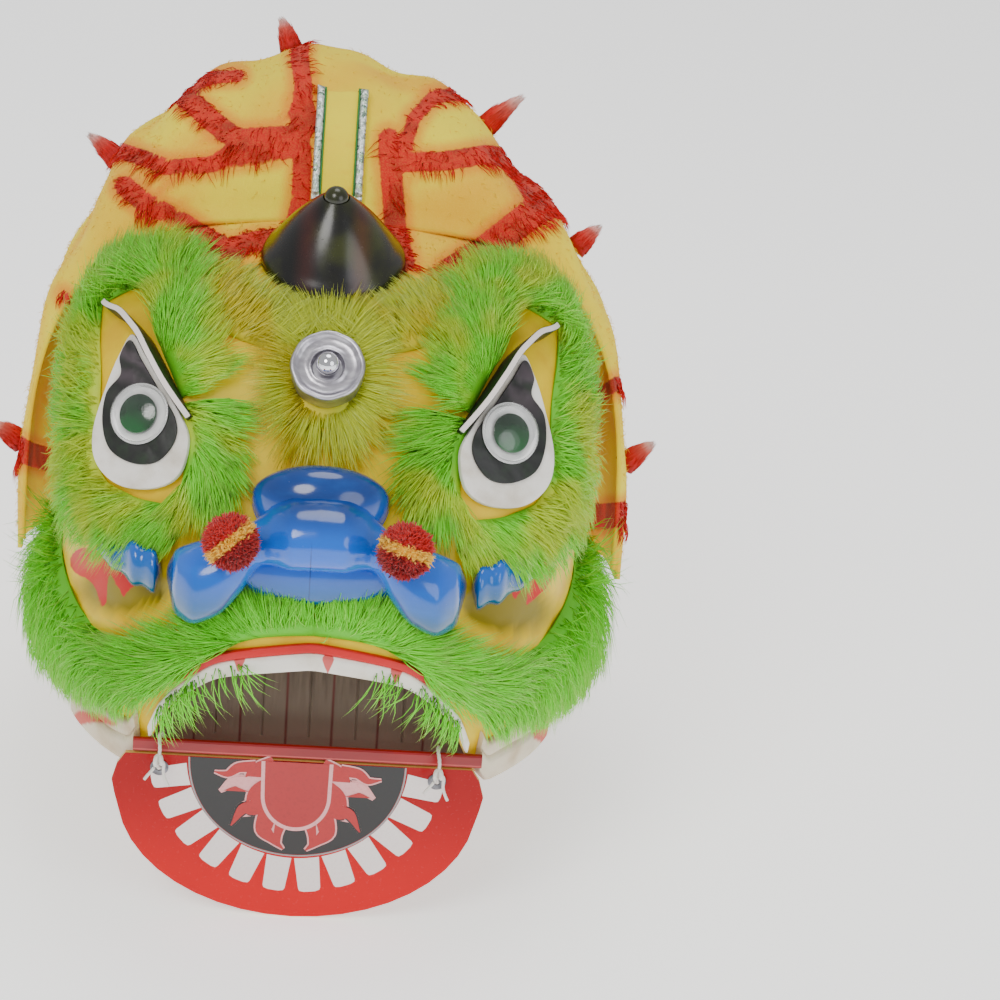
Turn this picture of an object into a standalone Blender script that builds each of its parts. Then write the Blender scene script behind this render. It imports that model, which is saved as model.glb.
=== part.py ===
"""A child's lion dance head: a painted shell mask with fur trims, a plush hood and a swinging jaw.

Metres, +Z up, and the face looks along -Y. The origin is the inner top of the shell's crown, where
the wearer's head sits. A place on the mask is given by its turn from the front, in degrees, and by
how far down from the crown it lies, as a share of the shell's height.
"""

import math

import bmesh
import bpy
import numpy as np
from mathutils import Matrix, Vector
from mathutils.bvhtree import BVHTree

# Clearances
GAP = 0.0003
SEAT_GAP = 0.0004
SKIN_GAP = 0.0009
FUR_GAP = 0.0011

# Shell mask
SHELL_HEIGHT = 0.240
SHELL_HALF_WIDTH = 0.131
SHELL_FRONT = 0.163
SHELL_BACK = 0.101
SHELL_WALL = 0.0025
SHELL_COLUMNS = 40
SHELL_ROWS = 13

# Level sections of the mask: share down from the crown, then shares of front, back and half width,
# and the squareness of the section
SECTION_COLUMNS = ("down", "front", "back", "width", "square")
SECTIONS = (
    (0.000, 0.000, 0.00, 0.000, 2.0),
    (0.0125, 0.166, 0.30, 0.300, 2.0),
    (0.042, 0.337, 0.55, 0.590, 2.3),
    (0.092, 0.497, 0.74, 0.780, 2.8),
    (0.154, 0.600, 0.86, 0.880, 3.0),
    (0.246, 0.693, 0.94, 0.940, 3.1),
    (0.329, 0.780, 0.98, 0.965, 3.1),
    (0.433, 0.877, 1.00, 0.980, 3.0),
    (0.558, 0.950, 1.00, 0.990, 2.8),
    (0.683, 1.000, 1.00, 1.000, 2.6),
    (0.808, 0.988, 1.00, 1.000, 2.5),
    (0.933, 0.950, 0.99, 0.990, 2.4),
    (1.000, 0.926, 0.98, 0.985, 2.4),
)

# The rim: turn from the front in degrees, share down. The mouth arch is its first part.
RIM_COLUMNS = ("turn", "down")
RIM = (
    (0, 0.679),
    (13, 0.712),
    (19, 0.752),
    (27, 0.835),
    (33, 0.940),
    (38, 1.000),
    (55, 1.000),
    (90, 0.930),
    (130, 0.820),
    (180, 0.740),
)

# Hood: arches that fan round the head from the brow to the nape. Its front edge rests on the crown.
HOOD_HEM_DROP = 0.86042 * SHELL_HEIGHT
HOOD_WALL = 0.0025
HOOD_EDGE = 0.0013
HOOD_LOOSE = 0.029
HOOD_RISE = 1.3650
HOOD_HALF_WIDTH = SHELL_HALF_WIDTH + HOOD_LOOSE
HOOD_HEIGHT = (HOOD_HEM_DROP + SHELL_WALL + SEAT_GAP + HOOD_EDGE) * HOOD_RISE
HOOD_FOLD = 0.0032
FOLD_SIDEWAYS = 0.6
HOOD_FOLDS = 9
HOOD_COLUMNS = 40

# The hood slumps on one side: how much of its reach it loses there, where along the arch, how wide
SLUMP_SHARE = 0.085
SLUMP_ALONG = 52.0
SLUMP_SPREAD = 24.0
SLUMP_START_ANGLE = 92.0
SLUMP_FULL_ANGLE = 104.0
# Rows: arch angle from straight ahead, pivot behind the origin as a share of the hood's half width,
# then shares of the hood's height and half width, the arch's squareness, and how deep its folds are
ARCH_COLUMNS = ("angle", "pivot", "height", "width", "square", "fold")
ARCHES = (
    (90, -0.0125, 1 / HOOD_RISE, 0.972, 3.4, 0.0),
    (94, -0.0125, 0.815, 0.985, 3.1, 0.3),
    (101, 0.0000, 0.915, 0.994, 2.7, 0.8),
    (108, 0.01875, 0.975, 1.000, 2.5, 1.0),
    (115, 0.0500, 1.000, 1.000, 2.4, 1.0),
    (123, 0.1125, 0.925, 1.000, 2.4, 1.0),
    (132, 0.19375, 0.790, 0.996, 2.4, 1.0),
    (143, 0.2750, 0.640, 0.985, 2.4, 1.0),
    (155, 0.3250, 0.515, 0.970, 2.4, 1.0),
    (167, 0.3500, 0.435, 0.955, 2.4, 1.0),
    (180, 0.3625, 0.395, 0.945, 2.4, 0.8),
)

# Flame points of the hood: arch angle, place along the arch in degrees, length, then how far the
# tip leans to the front and up, all three as shares of the full length
POINT_COLUMNS = ("angle", "along", "length", "forward", "rise")
POINT_RADIUS = 0.0085
POINT_LENGTH = 0.032
POINT_FLAT = 0.7
POINT_TIP = 0.1
POINTS = (
    (115, 97, 0.62, 0.0, 0.0),
    (112, 66, 0.80, 0.4, 0.1),
    (112, 133, 0.62, 0.0, 0.2),
    (110, 42, 0.55, 0.0, 0.2),
    (108, 170, 0.50, 0.2, 0.4),
    (108, 11, 0.50, 0.2, 0.4),
)

# Crest band on the hood and its two trims
CREST_WIDTH = 0.025
CREST_THICK = 0.0020
CREST_START = 91.5
CREST_END = 101.5
TRIM_WIDTH = 0.0036
TRIM_THICK = 0.0014

# Horn
HORN_RADIUS = 0.0350
HORN_HEIGHT = 0.0420
HORN_KNOB = 0.0058
HORN_DOWN = 0.026
HORN_COLUMNS = ("radius", "height")
HORN_PROFILE = ((0.29, 0.80), (0.49, 0.62), (0.69, 0.42), (0.86, 0.22), (1.0, 0.03), (1.0, 0.0))

# Mirror
MIRROR_RADIUS = 0.0176
MIRROR_DEPTH = 0.0130
MIRROR_DISH_RADIUS = 0.0074
MIRROR_DISH_DEPTH = 0.0050
MIRROR_BALL_RADIUS = 0.0056
MIRROR_DOWN = 0.171
MIRROR_LEAN = 45.0
MIRROR_RIM_DROP = 0.0022
MIRROR_COLUMNS = ("radius", "drop")
MIRROR_RIM = ((0.72, 0.36), (0.94, 0.0), (1.0, 0.55))
MIRROR_BACK = 0.96

# Brow boards: turn, share down, and how far they stand out as a share of the depth
BROW_DEPTH = 0.0160
BROW_THICK = 0.0030
BROW_STATIONS = 11
BROW_COLUMNS = ("turn", "down", "depth")
BROW_PATH = (
    (66, 0.135, 0.35),
    (52, 0.135, 0.75),
    (40, 0.150, 1.00),
    (32, 0.180, 1.00),
    (25.5, 0.220, 0.85),
    (20, 0.262, 0.45),
)

# Eyes: the plate and patch outlines are shares of the half width and half height, outer side first
EYE_TURN = 32.5
EYE_DOWN = 0.276
EYE_HALF_WIDTH = 0.0250
EYE_HALF_HEIGHT = 0.0345
EYE_PLATE_THICK = 0.0030
EYE_PATCH_THICK = 0.0012
OUTLINE_COLUMNS = ("out", "up")
PLATE_OUTLINE = (
    (0.76, 1.08), (0.36, 0.84), (-0.18, 0.50), (-0.72, 0.16),
    (-1.04, -0.14), (-1.04, -0.60), (-0.64, -0.87), (0.08, -0.96),
    (0.68, -0.76), (0.96, -0.34), (0.97, 0.33), (0.90, 0.78),
)
PATCH_OUTLINE = (
    (0.74, 0.99), (0.38, 0.76), (-0.16, 0.42), (-0.66, 0.10),
    (-0.78, -0.20), (-0.56, -0.52), (-0.08, -0.63), (0.46, -0.53),
    (0.78, -0.21), (0.89, 0.20), (0.72, 0.50), (0.85, 0.74),
)
GOOGLY_RADIUS = 0.0146
GOOGLY_DISC = 0.0010
GOOGLY_HEIGHT = 0.0062
GOOGLY_WALL = 0.0009
GOOGLY_OUT = 0.06
GOOGLY_UP = 0.04
PUPIL_RADIUS = 0.0094
PUPIL_THICK = 0.0012

# Nose: across as a share of the half width, then drop and half height as shares of the nose height,
# and how deep the section is as a share of the depth
NOSE_HALF_WIDTH = 0.542 * SHELL_HALF_WIDTH
NOSE_HEIGHT = 0.07917 * SHELL_HEIGHT
NOSE_DEPTH = 0.135 * SHELL_FRONT
NOSE_TOP = 0.3875 * SHELL_HEIGHT
NOSE_SIDES = 12
BLOB_EDGE = 0.0015
NOSE_STATIONS = 23
NOSE_COLUMNS = ("across", "drop", "height", "depth")
NOSE_SECTIONS = (
    (0.00, 0.00, 0.87, 1.00),
    (0.16, 0.03, 0.85, 0.98),
    (0.29, 0.15, 0.72, 0.80),
    (0.38, 0.38, 0.60, 0.66),
    (0.48, 0.78, 0.76, 0.72),
    (0.62, 1.12, 0.98, 0.82),
    (0.76, 1.36, 1.00, 0.84),
    (0.89, 1.50, 0.84, 0.68),
    (0.98, 1.58, 0.45, 0.34),
)
BRIDGE_HALF_WIDTH = 0.4507 * NOSE_HALF_WIDTH
BRIDGE_HALF_HEIGHT = 1.0526 * NOSE_HEIGHT
BRIDGE_RISE = 0.316 * NOSE_HEIGHT
BRIDGE_DEPTH = 0.682 * NOSE_DEPTH
BRIDGE_STATIONS = 9
SCROLL_GAP = 0.0012
SCROLL_LENGTH = 0.4648 * NOSE_HALF_WIDTH
SCROLL_HEIGHT = 0.579 * NOSE_HEIGHT
SCROLL_DEPTH = 0.409 * NOSE_DEPTH
SCROLL_DROP = 1.62
SCROLL_SLOPE = 0.10
SCROLL_COLUMNS = ("along", "size")
SCROLL_SECTIONS = ((0.0, 0.75), (0.25, 1.0), (0.55, 0.82), (0.8, 0.5), (1.0, 0.22))

# Pompoms
POMPOM_RADIUS = 0.0136
POMPOM_ACROSS = 0.5493 * NOSE_HALF_WIDTH
POMPOM_DROP = 0.801 * NOSE_TOP
POMPOM_SLOPE = 23.0

# Upper lip: a band of teeth on the shell above the mouth arch, then the gum strip
TEETH_HEIGHT = 0.0085
GUM_HEIGHT = 0.0045
LIP_THICK = 0.0018
LIP_TURN = 31.0
GUM_TURN = 22.5
CORNER_TURNS = (35.0, 60.0)
CORNER_HEIGHT = 0.0260
CORNER_THICK = 0.0040

# Mouth
SCREEN_FRONT = 0.7239 * SHELL_FRONT
SCREEN_THICK = 0.0020
SCREEN_TOP = 0.6833 * SHELL_HEIGHT
SCREEN_BOTTOM = 0.9333 * SHELL_HEIGHT
SCREEN_PANELS = 8
SCREEN_SEAM = 0.0008

# Lower bar and jaw
BAR_HALF_LENGTH = 0.6412 * SHELL_HALF_WIDTH
BAR_HEIGHT = 0.0075
BAR_THICK = 0.0030
BAR_EDGE = 0.0012
BAR_DROP = 0.9146 * SHELL_HEIGHT
JAW_SHIFT = -0.0040
JAW_HALF_WIDTH = 0.687 * SHELL_HALF_WIDTH
JAW_TOP_HALF_WIDTH = 0.928 * JAW_HALF_WIDTH
JAW_DEPTH = 0.989 * JAW_HALF_WIDTH
JAW_THICK = 0.0025
JAW_BELOW_BAR = 0.0009

# The jaw's outline from its top corner down: shares of the half width and of the depth
JAW_COLUMNS = ("across", "down")
JAW_SHOULDER = ((0.972, 0.067), (1.0, 0.169), (0.985, 0.252))
JAW_CURVE_WIDTH = 0.97
JAW_CURVE_START = 0.12
JAW_CURVE_POINTS = 11
EYELET_ACROSS = 0.7444 * JAW_HALF_WIDTH
EYELET_DROP = 0.0070
EYELET_HOLE = 0.0030
EYELET_BORE = 0.0016
EYELET_FLANGE = 0.0044
EYELET_LIP = 0.0007
CORD_RADIUS = 0.0009

# Fur: turn, share down, and shares of half width and height
FUR_COLUMNS = ("turn", "down", "width", "height")
FUR_EDGE = 0.0015
FUR_NOTCH = 0.28
BROW_FUR_HALF_WIDTH = 0.0130
BROW_FUR_HEIGHT = 0.0150
BROW_FUR = (
    (74, 0.125, 0.6, 0.7),
    (66, 0.085, 1.0, 1.0),
    (56, 0.075, 1.1, 1.1),
    (46, 0.085, 1.1, 1.0),
    (37, 0.105, 1.0, 1.0),
    (30, 0.130, 0.9, 0.9),
    (24, 0.160, 0.8, 0.8),
    (19, 0.200, 0.7, 0.7),
)
INNER_FUR_HALF_WIDTH = 0.0070
INNER_FUR_HEIGHT = 0.0090
INNER_FUR = (
    (14.5, 0.265, 0.8, 0.8),
    (13, 0.305, 1.0, 1.0),
    (12.5, 0.345, 1.0, 1.0),
    (12, 0.375, 0.8, 0.8),
)
FOREHEAD_FUR_HALF_WIDTH = 0.0120
FOREHEAD_FUR_HEIGHT = 0.0120
FOREHEAD_FUR = (
    (13, 0.096, 0.7, 0.8),
    (18, 0.088, 1.0, 1.0),
    (23, 0.083, 1.0, 1.0),
    (27, 0.080, 0.7, 0.8),
)
COLLAR_RADIUS = 0.0300
COLLAR_SIDE_GROWTH = 0.30
COLLAR_LOW_GROWTH = 0.20
COLLAR_HEIGHT = 0.0090
COLLAR_LOCKS = 12
CHEEK_FUR_HALF_WIDTH = 0.0120
CHEEK_FUR_HEIGHT = 0.0140
CHEEK_FUR = (
    (84, 0.190, 0.7, 0.9),
    (78, 0.240, 0.9, 1.1),
    (73, 0.300, 1.0, 1.2),
    (67, 0.370, 1.0, 1.2),
    (57, 0.425, 1.1, 1.1),
    (47, 0.450, 1.1, 1.0),
    (38, 0.448, 1.0, 0.9),
    (30, 0.435, 0.8, 0.8),
)
LIP_FUR_HALF_WIDTH = 0.0150
LIP_FUR_HEIGHT = 0.0160
LIP_FUR = (
    (98, 0.800, 0.80, 1.00),
    (88, 0.790, 1.50, 1.40),
    (77, 0.775, 1.80, 1.60),
    (66, 0.755, 1.70, 1.60),
    (56, 0.735, 1.40, 1.40),
    (46, 0.712, 1.25, 1.20),
    (37, 0.700, 1.10, 1.00),
    (30, 0.690, 1.00, 0.90),
    (25, 0.672, 0.70, 0.80),
    (19, 0.652, 0.42, 0.70),
    (16.5, 0.634, 0.40, 0.70),
    (13.5, 0.604, 0.46, 0.75),
    (9, 0.584, 0.62, 0.75),
    (5, 0.558, 0.80, 0.75),
    (0, 0.548, 0.85, 0.75),
)

COLLECTION = "lion_dance_head"

COLORS = {
    "yellow_shell": ((0.85, 0.62, 0.02), 0.35, 0.0),
    "yellow_plush": ((0.92, 0.66, 0.02), 0.9, 0.0),
    "red_plush": ((0.72, 0.03, 0.02), 0.9, 0.0),
    "green_fur": ((0.25, 0.62, 0.05), 0.9, 0.0),
    "black_plastic": ((0.01, 0.01, 0.01), 0.15, 0.0),
    "silver": ((0.75, 0.75, 0.76), 0.15, 1.0),
    "black_board": ((0.02, 0.02, 0.02), 0.5, 0.0),
    "white_foam": ((0.9, 0.9, 0.88), 0.7, 0.0),
    "black_vinyl": ((0.01, 0.01, 0.01), 0.2, 0.0),
    "clear_dome": ((0.9, 0.95, 0.9), 0.05, 0.0),
    "dark_green": ((0.01, 0.05, 0.02), 0.3, 0.0),
    "blue_plastic": ((0.0, 0.2, 0.75), 0.12, 0.0),
    "red_yarn": ((0.75, 0.04, 0.03), 0.9, 0.0),
    "white_board": ((0.92, 0.88, 0.85), 0.5, 0.0),
    "red_board": ((0.8, 0.02, 0.03), 0.35, 0.0),
    "brown_card": ((0.1, 0.07, 0.05), 0.8, 0.0),
    "sequin": ((0.3, 0.5, 0.4), 0.3, 0.8),
    "grey_metal": ((0.4, 0.4, 0.42), 0.3, 1.0),
    "white_cord": ((0.9, 0.9, 0.9), 0.8, 0.0),
}


def clear_scene():
    """Remove what the file holds."""
    for item in list(bpy.data.objects):
        bpy.data.objects.remove(item)


def make_collection(name):
    group = bpy.data.collections.new(name)
    bpy.context.scene.collection.children.link(group)
    return group


def material(name):
    """A Principled material in the piece's own colour."""
    found = bpy.data.materials.get(name)
    if found:
        return found
    color, roughness, metallic = COLORS[name]
    made = bpy.data.materials.new(name)
    made.use_nodes = True
    shader = made.node_tree.nodes["Principled BSDF"]
    shader.inputs["Base Color"].default_value = (*color, 1.0)
    shader.inputs["Roughness"].default_value = roughness
    shader.inputs["Metallic"].default_value = metallic
    return made


def add_object(name, mesh, finish, smooth=40.0):
    """Link a mesh as a named part with its material, shaded smooth up to an angle."""
    item = bpy.data.objects.new(name, mesh)
    parts.objects.link(item)
    mesh.materials.clear()
    mesh.materials.append(material(finish))
    mesh.shade_smooth()
    mesh.set_sharp_from_angle(angle=math.radians(smooth))
    return item


def mesh_from(name, points, faces):
    mesh = bpy.data.meshes.new(name)
    mesh.from_pydata([tuple(p) for p in points], [], faces)
    mesh.update()
    return mesh


def face_outwards(mesh):
    """Turn a closed mesh's faces outwards."""
    work = bmesh.new()
    work.from_mesh(mesh)
    bmesh.ops.recalc_face_normals(work, faces=work.faces)
    work.to_mesh(mesh)
    work.free()
    return mesh


def smooth_rows(x, rows, column):
    """A column of a table at x, on a smooth curve through the rows that never overshoots them."""
    table = np.asarray(rows, float)
    xs, ys = table[:, 0], table[:, column]
    x = np.clip(x, xs[0], xs[-1])
    slope = np.diff(ys) / np.diff(xs)
    tangent = np.zeros_like(ys)
    tangent[0], tangent[-1] = slope[0], slope[-1]
    same = slope[:-1] * slope[1:] > 0
    tangent[1:-1][same] = 2 * slope[:-1][same] * slope[1:][same] / (slope[:-1] + slope[1:])[same]
    k = np.clip(np.searchsorted(xs, x, side="right") - 1, 0, len(xs) - 2)
    step = xs[k + 1] - xs[k]
    t = (x - xs[k]) / step
    return ((1 + 2 * t) * (1 - t) ** 2 * ys[k] + t * (1 - t) ** 2 * step * tangent[k]
            + t * t * (3 - 2 * t) * ys[k + 1] + t * t * (t - 1) * step * tangent[k + 1])


def signed_power(value, power):
    return np.sign(value) * np.abs(value) ** power


def shell_point(turn, down):
    """The mask's outer skin: a superellipse section at each level, its corner shares from the table."""
    root = np.sqrt(np.asarray(down, float))
    rows = [(math.sqrt(r[0]), *r[1:]) for r in SECTIONS]
    front, back, width, square = (smooth_rows(root, rows, c) for c in range(1, 5))
    angle = np.radians(turn)
    reach = np.where(np.cos(angle) > 0, SHELL_FRONT * front, SHELL_BACK * back)
    x = SHELL_HALF_WIDTH * width * signed_power(np.sin(angle), 2 / square)
    y = -reach * signed_power(np.cos(angle), 2 / square)
    z = SHELL_WALL - SHELL_HEIGHT * np.asarray(down, float) + 0 * x
    return np.stack([x, y, z], axis=-1)


def rim_down(turn):
    """The share down at which the mask ends, for a turn to either side."""
    return smooth_rows(np.abs(np.asarray(turn, float)), RIM, 1)


def shell_turns():
    """The turns of the mask's columns, closest together in front."""
    even = np.linspace(-1, 1, SHELL_COLUMNS, endpoint=False) + 1 / SHELL_COLUMNS
    return 180 * (0.6 * even + 0.4 * even ** 3)


def turns_between(low, high):
    """A strip's stations: the mask's own columns within a range of turns, and the range's two ends."""
    inside = [t for t in shell_turns() if low + 0.8 < t < high - 0.8]
    return np.array([low, *inside, high])


def grid_faces(rows, columns, wrap):
    """Quads of a grid of points, row by row, closed round if wrap is set."""
    span = columns if wrap else columns - 1
    faces = []
    for r in range(rows - 1):
        low, high = r * columns, (r + 1) * columns
        faces += [(low + c, low + (c + 1) % columns, high + (c + 1) % columns, high + c) for c in range(span)]
    return faces


def skin_triangles(rows, columns, wrap):
    """The grid's quads turned outwards and split, so that what lies on a skin meets its true facets."""
    return [tri for a, b, c, d in grid_faces(rows, columns, wrap) for tri in ((a, d, c), (a, c, b))]


def lofted(name, rings):
    """A closed body through rings of points, capped by a fan at each end."""
    rings = np.asarray(rings, float)
    count, sides = rings.shape[:2]
    points = np.concatenate([rings.reshape(-1, 3), [rings[0].mean(0), rings[-1].mean(0)]])
    faces = grid_faces(count, sides, True)
    first, last = count * sides, count * sides + 1
    base = (count - 1) * sides
    faces += [((c + 1) % sides, c, first) for c in range(sides)]
    faces += [(base + c, base + (c + 1) % sides, last) for c in range(sides)]
    return face_outwards(mesh_from(name, points, faces))


def solidify(item, thickness, offset=-1.0):
    wall = item.modifiers.new("wall", "SOLIDIFY")
    wall.thickness = thickness
    wall.offset = offset
    wall.use_even_offset = True
    return item


def turned(name, profile, sides, finish, matrix):
    """A turned piece: a profile of radius and height, from the outer side down, spun round its axis."""
    points = [(max(r, 0.0), 0.0, h) for r, h in profile]
    mesh = mesh_from(name, points, [])
    work = bmesh.new()
    work.from_mesh(mesh)
    work.verts.ensure_lookup_table()
    closed = min(profile[0][0], profile[-1][0]) > 1e-6
    for k in range(len(points) - (0 if closed else 1)):
        work.edges.new((work.verts[k], work.verts[(k + 1) % len(points)]))
    work.to_mesh(mesh)
    work.free()
    item = add_object(name, mesh, finish)
    spin = item.modifiers.new("spin", "SCREW")
    spin.steps = sides
    spin.render_steps = sides
    spin.use_merge_vertices = True
    spin.merge_threshold = 1e-5
    item.matrix_world = matrix
    return item


def plate(name, outline, thick, finish, matrix):
    """A flat piece: a closed outline in its own plane, as a filled curve of a given thickness."""
    curve = bpy.data.curves.new(name, "CURVE")
    curve.dimensions = "2D"
    curve.fill_mode = "BOTH"
    curve.extrude = thick / 2
    for loop in outline:
        spline = curve.splines.new("POLY")
        spline.points.add(len(loop) - 1)
        for point, (x, y) in zip(spline.points, loop):
            point.co = (x, y, 0.0, 1.0)
        spline.use_cyclic_u = True
    item = bpy.data.objects.new(name, curve)
    parts.objects.link(item)
    curve.materials.append(material(finish))
    item.matrix_world = matrix
    return item


def frame_at(origin, normal, up):
    """A placing matrix: z along the normal, y as near up as it can be."""
    z = Vector(normal).normalized()
    x = Vector(up).cross(z).normalized()
    y = z.cross(x)
    matrix = Matrix((x, y, z)).transposed().to_4x4()
    matrix.translation = Vector(origin)
    return matrix


def skin_normal(tree, point):
    return tree.find_nearest(Vector(point))[1]


def seated_frame(skin, center, normal, up, reach, gap):
    """The frame of a flat-backed piece on a curved skin, lifted until nothing within reach pokes through."""
    matrix = frame_at(center, normal, up)
    local = np.array([(matrix.inverted() @ Vector(p))[:] for p in skin])
    near = local[(np.hypot(local[:, 0], local[:, 1]) < reach) & (np.abs(local[:, 2]) < reach)]
    lift = max(0.0, float(near[:, 2].max()) if len(near) else 0.0)
    matrix.translation = matrix.translation + matrix.col[2].to_3d() * (lift + gap)
    return matrix


def on_skin(tree, points, lift):
    """Points moved onto a skin and lifted along its normal by their own lifts."""
    moved = []
    for point, height in zip(points, lift):
        place, normal, _, _ = tree.find_nearest(Vector(point))
        moved.append(place + normal * height)
    return np.array([tuple(p) for p in moved])


def fur_strip(name, path, half_width, height, tree, loop=False):
    """A band of fur as one closed body: a domed section along a path, notched into locks at its edges."""
    centers = np.array([tuple(p) for p in path["points"]])
    ahead = np.roll(centers, -1, axis=0)
    behind = np.roll(centers, 1, axis=0)
    if not loop:
        ahead[-1], behind[0] = centers[-1], centers[0]
    tangent = ahead - behind
    top_side = np.array([-1.0, -0.55, 0.0, 0.55, 1.0])
    top_rise = np.array([0.0, 0.75, 1.0, 0.75, 0.0])
    low_side = np.array([0.6, 0.0, -0.6])
    rings = []
    for k, center in enumerate(centers):
        normal = skin_normal(tree, center)
        side = Vector(tangent[k]).cross(normal).normalized()
        notch = 1.0 - FUR_NOTCH * (k % 2)
        reach = half_width * path["width"][k] * notch
        rise = height * path["height"][k] * notch
        spots = [Vector(center) + side * (s * reach) for s in (*top_side, *low_side)]
        lifts = [FUR_GAP + FUR_EDGE + rise * r for r in top_rise] + [FUR_GAP] * len(low_side)
        rings.append(on_skin(tree, spots, lifts))
    if not loop:
        return add_object(name, lofted(name, rings), "green_fur", 180.0)
    rings = np.array(rings)
    count, sides = rings.shape[:2]
    closed = np.concatenate([rings, rings[:1]]).reshape(-1, 3)
    faces = [tuple(v % (count * sides) for v in face) for face in grid_faces(count + 1, sides, True)]
    mesh = face_outwards(mesh_from(name, closed[:count * sides], faces))
    return add_object(name, mesh, "green_fur", 180.0)


def fur_path(rows, side, per_row=2):
    """A fur table's rows as evenly spread stations on the mask."""
    table = np.array(rows, float)
    index = np.linspace(0, len(rows) - 1, (len(rows) - 1) * per_row + 1)
    numbered = np.column_stack([np.arange(len(rows)), table])
    turn, down, width, height = (smooth_rows(index, numbered, c) for c in range(1, 5))
    return {"points": shell_point(side * turn, down), "width": width, "height": height}


def build_shell():
    """The mask: level sections from the crown to the rim, as one skin with a wall inside it."""
    turn = shell_turns()
    share = np.linspace(0, 1, SHELL_ROWS + 1)[1:]
    down = (share[:, None] * np.sqrt(rim_down(turn))[None, :]) ** 2
    rings = shell_point(turn[None, :], down)
    points = np.concatenate([rings.reshape(-1, 3), [[0.0, 0.0, SHELL_WALL]]])
    faces = skin_triangles(SHELL_ROWS, SHELL_COLUMNS, True)
    crown = len(points) - 1
    faces += [(crown, c, (c + 1) % SHELL_COLUMNS) for c in range(SHELL_COLUMNS)]
    mesh = mesh_from("face_shell", points, faces)
    item = solidify(add_object("face_shell", mesh, "yellow_shell", 60.0), SHELL_WALL)
    return item, points, faces


def hood_point(angle, along):
    """The hood's outer skin: an arch at an angle round the head, and a place along it in degrees."""
    pivot, height, width, square, fold = (smooth_rows(angle, ARCHES, c) for c in range(1, 6))
    pivot = HOOD_HALF_WIDTH * pivot
    run = np.radians(along)
    tilt = np.radians(angle)
    ripple = HOOD_FOLD * fold * np.cos(2 * HOOD_FOLDS * run + 0.8 * np.sin(3 * run) + 1.5 * tilt)
    ripple = ripple * np.sin(run) ** 0.5
    fade = np.clip((angle - SLUMP_START_ANGLE) / (SLUMP_FULL_ANGLE - SLUMP_START_ANGLE), 0, 1)
    sunk = fade * np.exp(-((along - SLUMP_ALONG) / SLUMP_SPREAD) ** 2)
    full = signed_power(np.sin(run), 2 / square)
    reach = HOOD_HEIGHT * height * full * (1 - SLUMP_SHARE * sunk) + ripple
    x = (HOOD_HALF_WIDTH * width + FOLD_SIDEWAYS * ripple) * signed_power(np.cos(run), 2 / square)
    y = pivot - reach * np.cos(tilt)
    z = -HOOD_HEM_DROP + reach * np.sin(tilt)
    return np.stack([x, y, z + 0 * x], axis=-1)


def build_hood():
    """The plush hood: arches from the brow edge to the nape hem, with soft folds running over the head."""
    angle = np.array([row[0] for row in ARCHES], float)
    angle = np.sort(np.concatenate([angle, (angle[1:5] + angle[2:6]) / 2]))
    along = np.linspace(2.0, 178.0, HOOD_COLUMNS + 1)
    rings = hood_point(angle[:, None], along[None, :])
    faces = skin_triangles(len(angle), len(along), False)
    points = rings.reshape(-1, 3)
    mesh = mesh_from("hood", points, faces)
    item = solidify(add_object("hood", mesh, "yellow_plush", 180.0), HOOD_WALL)
    return item, points, faces


def build_points(tree, skin):
    """The hood's flame points: bent cones of red plush at its outline."""
    for k, (angle, along, length, forward, rise) in enumerate(POINTS):
        center = hood_point(np.array(float(angle)), np.array(float(along)))
        normal = skin_normal(tree, center)
        frame = seated_frame(skin, center, normal, (0, 0.4, 1), POINT_RADIUS, SKIN_GAP)
        ahead = 1 if center[0] < 0 else -1
        turn = np.linspace(0, 2 * math.pi, 7)[:-1]
        rings = []
        for step in np.linspace(0, 1, 4):
            radius = POINT_RADIUS * (1 - (1 - POINT_TIP) * step)
            bend = POINT_LENGTH * step ** 2
            ring = np.stack([radius * np.cos(turn) + ahead * forward * bend,
                             POINT_FLAT * radius * np.sin(turn) + rise * bend,
                             np.full_like(turn, POINT_LENGTH * length * step)], axis=-1)
            rings.append([frame @ Vector(p) for p in ring])
        low = [frame.translation] + rings[0]
        spare = min(tree.find_nearest(p)[3] for p in low) - SEAT_GAP
        rings = [[tuple(p - frame.col[2].to_3d() * spare) for p in ring] for ring in rings]
        name = f"flame_point_{k + 1}"
        add_object(name, lofted(name, rings), "red_plush", 180.0)


def strip_on_hood(name, across, half_width, thick, lift, finish, tree):
    """A flat strip that follows the hood's crest: across is its place beside the centre line."""
    rings = []
    for angle in np.linspace(CREST_START, CREST_END, 6):
        center = hood_point(np.array(angle), np.array(90.0))
        spots = [Vector(center) + Vector((across + s * half_width, 0, 0)) for s in (-1, 0, 1, 1, 0, -1)]
        lifts = [lift] * 3 + [lift + thick] * 3
        rings.append(on_skin(tree, spots, lifts))
    return add_object(name, lofted(name, rings), finish, 40.0)


def build_crest(tree):
    strip_on_hood("crest_band", 0.0, CREST_WIDTH / 2, CREST_THICK, SKIN_GAP, "yellow_plush", tree)
    edge = CREST_WIDTH / 2 - TRIM_WIDTH / 2
    for side, label in ((-1, "left"), (1, "right")):
        lift = SKIN_GAP + CREST_THICK + SEAT_GAP
        strip_on_hood(f"crest_trim_{label}", side * edge, TRIM_WIDTH / 2, TRIM_THICK, lift, "sequin", tree)


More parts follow.
